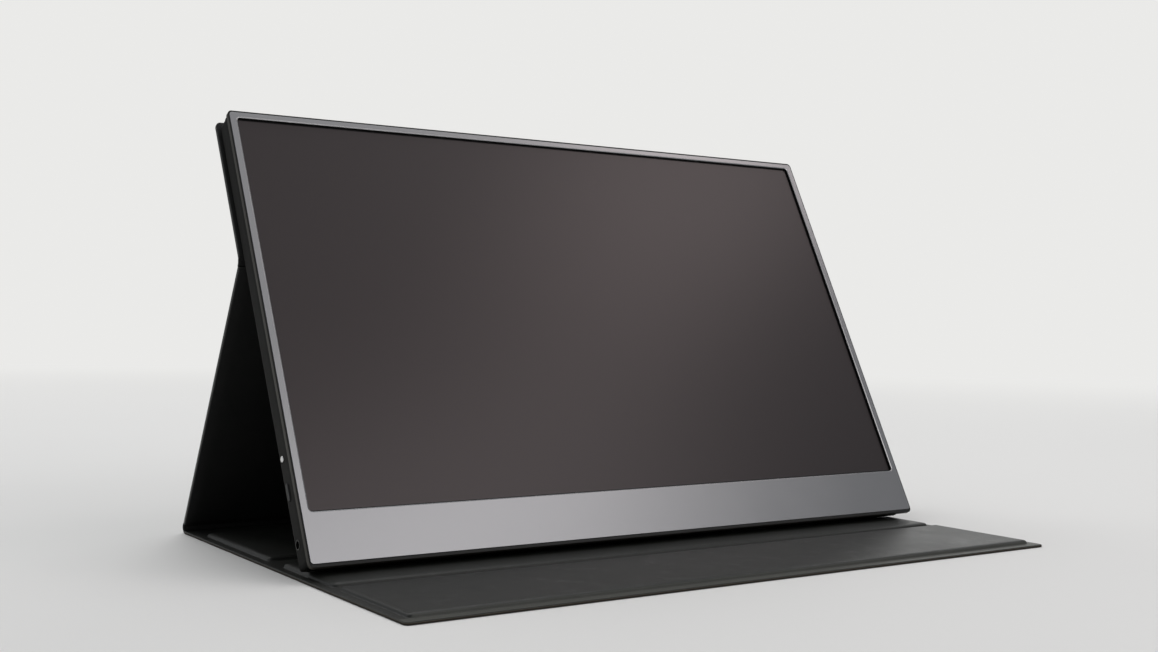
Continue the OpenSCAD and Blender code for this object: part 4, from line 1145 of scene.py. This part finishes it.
def outerFace(node, side):
    # a node's face nearest the outside: its x, and its depths and heights in order
    corners = [fromScreen(vertex.co) for vertex in nodes[node].data.vertices]
    outer = max(x * side for x, _, _ in corners)
    face = [(depth, height) for x, depth, height in corners if x * side > outer - faceSkin]
    return outer * side, sorted(depth for depth, _ in face), sorted(height for _, height in face)


def middle(ordered):
    return (ordered[0] + ordered[-1]) / 2


def keySteps(sizes, dish, chamfer, depth):
    # a key from its dished face to the back of its flange: (inset of the outline, distance in)
    lap, neck = sizes["flangeLap"], depth - sizes["flangeThick"]
    floor, slope, part = sizes["keyPocket"]
    turned = [(chamfer * out, chamfer * back) for out, back in sizes["roundOff"]]
    return [(chamfer * floor, dish), (chamfer * slope, dish * part), *turned,
            (0.0, neck), (-lap, neck), (-lap, depth)]


def makeSideKey(name, node, halfLong, radius, steps, material, sizes):
    # halfLong 0 makes a round key
    faceX, depths, heights = outerFace(node, -1)
    count = sizes["segments"]
    form = bmesh.new()

    def place(inward, deep, high):
        return form.verts.new(onScreen(faceX + inward, middle(depths) + deep, middle(heights) + high))

    rings = []
    for inset, inward in steps:
        turns = [2 * math.pi * (k + 0.5) / count for k in range(count)]
        spots = [((radius - inset) * math.cos(turn), (radius - inset) * math.sin(turn)) for turn in turns]
        rings.append([place(inward, deep, high + math.copysign(halfLong, high)) for deep, high in spots])
    for first, second in zip(rings, rings[1:]):
        bridge(form, first, second)
    for end in (0, -1):
        centre = place(steps[end][1], 0.0, 0.0)
        for k, corner in enumerate(rings[end]):
            form.faces.new((corner, rings[end][(k + 1) % count], centre))
    bmesh.ops.recalc_face_normals(form, faces=form.faces)
    piece = newPiece(name, form, material)
    markSharp(piece, sizes["crisp"])
    return piece


_, powerDepths, powerHeights = outerFace("power_button", -1)
powerLow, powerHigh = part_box("power_button")
powerCentre = tuple(onScreen(0, middle(powerDepths), middle(powerHeights)) / mm)
powerMetal = makeTurnedMetal("powerMetal", centre=powerCentre, **powerLook)
powerSteps = keySteps(controlSizes, controlSizes["buttonDish"], controlSizes["buttonChamfer"],
                      (powerHigh.x - powerLow.x) / mm)
powerKey = makeSideKey("powerKey", "power_button", 0.0, controlSizes["buttonRadius"],
                       powerSteps, powerMetal, controlSizes)
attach(powerKey, "power_button")
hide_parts("power_button")

_, rockerDepths, rockerHeights = outerFace("menu_rocker", -1)
rockerWide, rockerLong = rockerDepths[-1] - rockerDepths[0], rockerHeights[-1] - rockerHeights[0]
rockerSteps = keySteps(controlSizes, controlSizes["rockerDish"], controlSizes["rockerChamfer"],
                       controlSizes["rockerDeep"])
rockerKey = makeSideKey("rockerKey", "menu_rocker", (rockerLong - rockerWide) / 2, rockerWide / 2,
                        rockerSteps, finishes["rockerPlastic"], controlSizes)
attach(rockerKey, "menu_rocker")
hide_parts("menu_rocker")
print("stage: side keys made, rocker", round(rockerWide, 2), "by", round(rockerLong, 2))

# Gilt contacts on the tongues of the sockets, set out from each tongue's own faces
contactSizes = {
    "long": 3.6,
    "wide": 0.26,
    "thick": 0.05,
    "back": 1.5,
    "tongueHalf": 0.35,
    # node, its sockets, pitch of the contacts and how many there are in a row
    "rows": (("usb_sockets", 2, 0.5, 12), ("hdmi_socket", 1, 0.7, 10)),
}


def socketMiddles(node, count):
    # outer x, depth and height of each socket's mouth; the widest steps in height part the sockets
    outerX, depths, heights = outerFace(node, 1)
    steps = sorted((b - a for a, b in zip(heights, heights[1:])), reverse=True)
    groups = [heights[:1]]
    for height in heights[1:]:
        if height - groups[-1][-1] > steps[count - 1]:
            groups.append([])
        groups[-1].append(height)
    return [(outerX, middle(depths), middle(group)) for group in groups]


def makeContacts(sizes, material):
    places = []
    for node, sockets, pitch, row in sizes["rows"]:
        for outerX, depth, height in socketMiddles(node, sockets):
            for side in (-1, 1):
                for k in range(row):
                    middleX = outerX - sizes["back"] - sizes["long"] / 2
                    high = height + (k - (row - 1) / 2) * pitch
                    places.append(tuple(onScreen(middleX, depth + side * sizes["tongueHalf"], high)))
    spots = bpy.data.meshes.new("contactSpots")
    spots.from_pydata(places, [], [])
    graph = Graph("contactRow")
    long = graph.length("Contact Length", sizes["long"])
    wide = graph.length("Contact Width", sizes["wide"])
    thick = graph.length("Contact Thickness", 2 * sizes["thick"])
    tilt = graph.triple("Tilt", (screenTilt, 0.0, 0.0))
    size = graph.node("ShaderNodeCombineXYZ", {"X": long, "Y": wide, "Z": thick}, "Vector")
    block = graph.node("GeometryNodeMeshCube", {"Size": size}, "Mesh")
    spread = {"Points": graph.start, "Instance": block, "Rotation": tilt}
    rows = graph.node("GeometryNodeInstanceOnPoints", spread, "Instances")
    return graph.grow("socketContacts", rows, material, spots)


allSockets = [spot for node, count, _, _ in contactSizes["rows"] for spot in socketMiddles(node, count)]
print("stage: sockets at", [tuple(round(v, 2) for v in m) for m in allSockets])
socketContacts = makeContacts(contactSizes, finishes["giltContacts"])
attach(socketContacts, "monitor")
print("stage: contacts set")

# Finishes of the carried CAD nodes
socketLook = {
    "dark": (0.30, 0.295, 0.285),
    "light": (0.42, 0.415, 0.40),
    "moulded": (0.007, 0.007, 0.0075),
    "tongue": 0.42,
    "row": 3.95,
    "floor": 6.3,
    "soft": 0.03,
}


def makeSocketMetal(look):
    # plated shell with a moulded black tongue and floor inside it
    paint = Paint("socketMetal")
    where = paint.place()
    marks = paint.noise(paint.place(0.3, 1, 1), 0.2, 3.0, 0.6)
    outerX, depth, height = allSockets[0]
    up = paint.aboveFoot(where)
    beside = abs(up - height)
    for _, _, other in allSockets[1:]:
        beside = paint.maths("MINIMUM", beside, abs(up - other))
    flat = 1 - abs(paint.behindFace(where) - depth).past(look["tongue"], look["soft"])
    tongue = flat * (1 - beside.past(look["row"], look["soft"]))
    inside = outerX - paint.axis(where, "X")
    moulded = paint.maths("MAXIMUM", tongue, inside.past(look["floor"], look["soft"]))
    colour = paint.mix(paint.mix(look["dark"], look["light"], marks), look["moulded"], moulded)
    return paint.finish(colour, 0.30 + moulded * 0.2 + marks * 0.06, paint.bump(marks, 0.003), 1 - moulded)


finishes["socketMetal"] = makeSocketMetal(socketLook)
dressing = {
    "frameGrey": ("mid_frame",),
    "shellBlack": ("rear_shell",),
    "gasketFoam": ("screen_gasket",),
    "screenCoat": ("front_polariser",),
    "panelGlass": ("lcd_glass",),
    "diffuserFilm": ("optical_films",),
    "guideAcrylic": ("light_guide",),
    "ledTape": ("led_bar",),
    "reflectorFilm": ("reflector_film",),
    "rolledSteel": ("backlight_tray",),
    "circuitBoard": ("driver_board", "main_board", "control_board"),
    "flexCopper": ("display_flex",),
    "chipEpoxy": ("board_chips",),
    "platedSteel": ("board_shield",),
    "socketMetal": ("usb_sockets", "hdmi_socket"),
    "jackMetal": ("audio_jack",),
    "switchPlastic": ("tact_switches",),
    "speakerPlastic": ("speakers",),
    "screwSteel": ("frame_screws", "board_screws"),
    "magnetNickel": ("shell_magnets", "back_magnets", "base_magnets"),
    "pressedBoard": ("back_board", "leg_board", "spine_board",
                     "base_board_rear", "base_board_mid", "flap_board"),
}
for look, names in dressing.items():
    for name in names:
        slots = nodes[name].data.materials
        slots.clear()
        slots.append(finishes[look])
print("stage: carried parts dressed")

# Studio: a pale sweep, a pale world and panels of light
studio = {
    "sweepHalf": 6.0,
    "paleFrom": 0.55,  # beyond this distance the sweep fades to the plain backdrop colour
    "paleTo": 2.2,
    "backdrop": (0.825, 0.823, 0.81),
    "floorDark": (0.76, 0.755, 0.745),
    "floorLight": (0.79, 0.785, 0.775),
    "worldColour": (0.94, 0.97, 1.0),
    "worldLevel": 0.40,
    "aim": (0, 0, 0.1),
    # name, heading right of the front and height above the floor in degrees,
    # distance, width, height, radiance, colour
    "panels": (
        ("frontWindow", 23, 35, 1.5, 1.10, 0.48, 1.85, (1.0, 0.960, 0.950)),
        ("ceilingPanel", 172, 64, 2.2, 2.2, 1.5, 2.2, (1.0, 0.995, 0.985)),
        ("warmPanel", 61, 45, 1.7, 0.50, 0.40, 2.35, (1.0, 0.89, 0.87)),
        ("highPanel", 38, 60, 1.8, 1.2, 0.45, 0.62, (1.0, 0.97, 0.955)),
        ("backWindow", 119, 15, 2.4, 1.1, 1.0, 1.1, (1.0, 0.99, 0.96)),
        ("rearPanel", 198, 38, 2.4, 1.6, 1.0, 1.2, (1.0, 0.99, 0.975)),
    ),
}


def makeSweepPaint():
    # near the object the floor shows its light and shadow, further off it is the plain backdrop
    paint = Paint("paleSweep", Specular_IOR_Level=0.2)
    metres = paint.place(mm, mm, mm)
    cloud = paint.noise(metres, 0.8, 3.0)
    colour = paint.mix(studio["floorDark"], studio["floorLight"], cloud)
    surface = paint.finish(colour, 0.7 + cloud * 0.1)
    away = paint.vector("LENGTH", metres, output="Value")
    seen, glossy, passed = (paint.node("ShaderNodeLightPath", {}, {}, ray)
                            for ray in ("Is Camera Ray", "Is Glossy Ray", "Is Transmission Ray"))
    seen = paint.maths("MAXIMUM", paint.maths("MAXIMUM", seen, glossy), passed)
    glow = paint.node("ShaderNodeEmission", {}, {"Color": studio["backdrop"], "Strength": 1.0}, "Emission")
    plain = Wire(paint, paint.shader.outputs["BSDF"])
    factor = seen * away.smooth(studio["paleFrom"], studio["paleTo"])
    both = {"Fac": factor, "Shader": plain, "Shader_001": glow}
    joined = paint.node("ShaderNodeMixShader", {}, both, "Shader")
    paint.set(paint.tree.nodes["Material Output"], "Surface", joined)
    return surface


def makeSweep():
    form = bmesh.new()
    bmesh.ops.create_grid(form, x_segments=8, y_segments=8, size=studio["sweepHalf"])
    newPiece("studioSweep", form, makeSweepPaint())


def addPanel(name, heading, height, distance, wide, tall, radiance, colour):
    data = bpy.data.lights.new(name, "AREA")
    data.shape = "RECTANGLE"
    data.size, data.size_y = wide, tall
    data.energy = radiance * math.pi * wide * tall
    data.color = colour
    across, up = math.radians(heading), math.radians(height)
    away = Vector((math.sin(across) * math.cos(up), -math.cos(across) * math.cos(up), math.sin(up)))
    lamp = addObject(name, data)
    lamp.location = Vector(studio["aim"]) + away * distance
    lamp.visible_camera = False
    lamp.rotation_euler = (-away).to_track_quat("-Z", "Y").to_euler()


def makeWorld():
    # the world lights the object at a plain level and shows as the pale backdrop
    world = bpy.data.worlds.new("studioWorld")
    bpy.context.scene.world = world
    world.use_nodes = True
    tree = world.node_tree
    light = tree.nodes["Background"]
    light.inputs["Color"].default_value = (*studio["worldColour"], 1)
    light.inputs["Strength"].default_value = studio["worldLevel"]
    pale = tree.nodes.new("ShaderNodeBackground")
    pale.inputs["Color"].default_value = (*studio["backdrop"], 1)
    path = tree.nodes.new("ShaderNodeLightPath")
    joined = tree.nodes.new("ShaderNodeMixShader")
    for place, output in enumerate((path.outputs["Is Camera Ray"], light.outputs[0], pale.outputs[0])):
        tree.links.new(output, joined.inputs[place])
    tree.links.new(joined.outputs[0], tree.nodes["World Output"].inputs["Surface"])


makeSweep()
makeWorld()
for panel in studio["panels"]:
    addPanel(*panel)
print("stage: studio set")
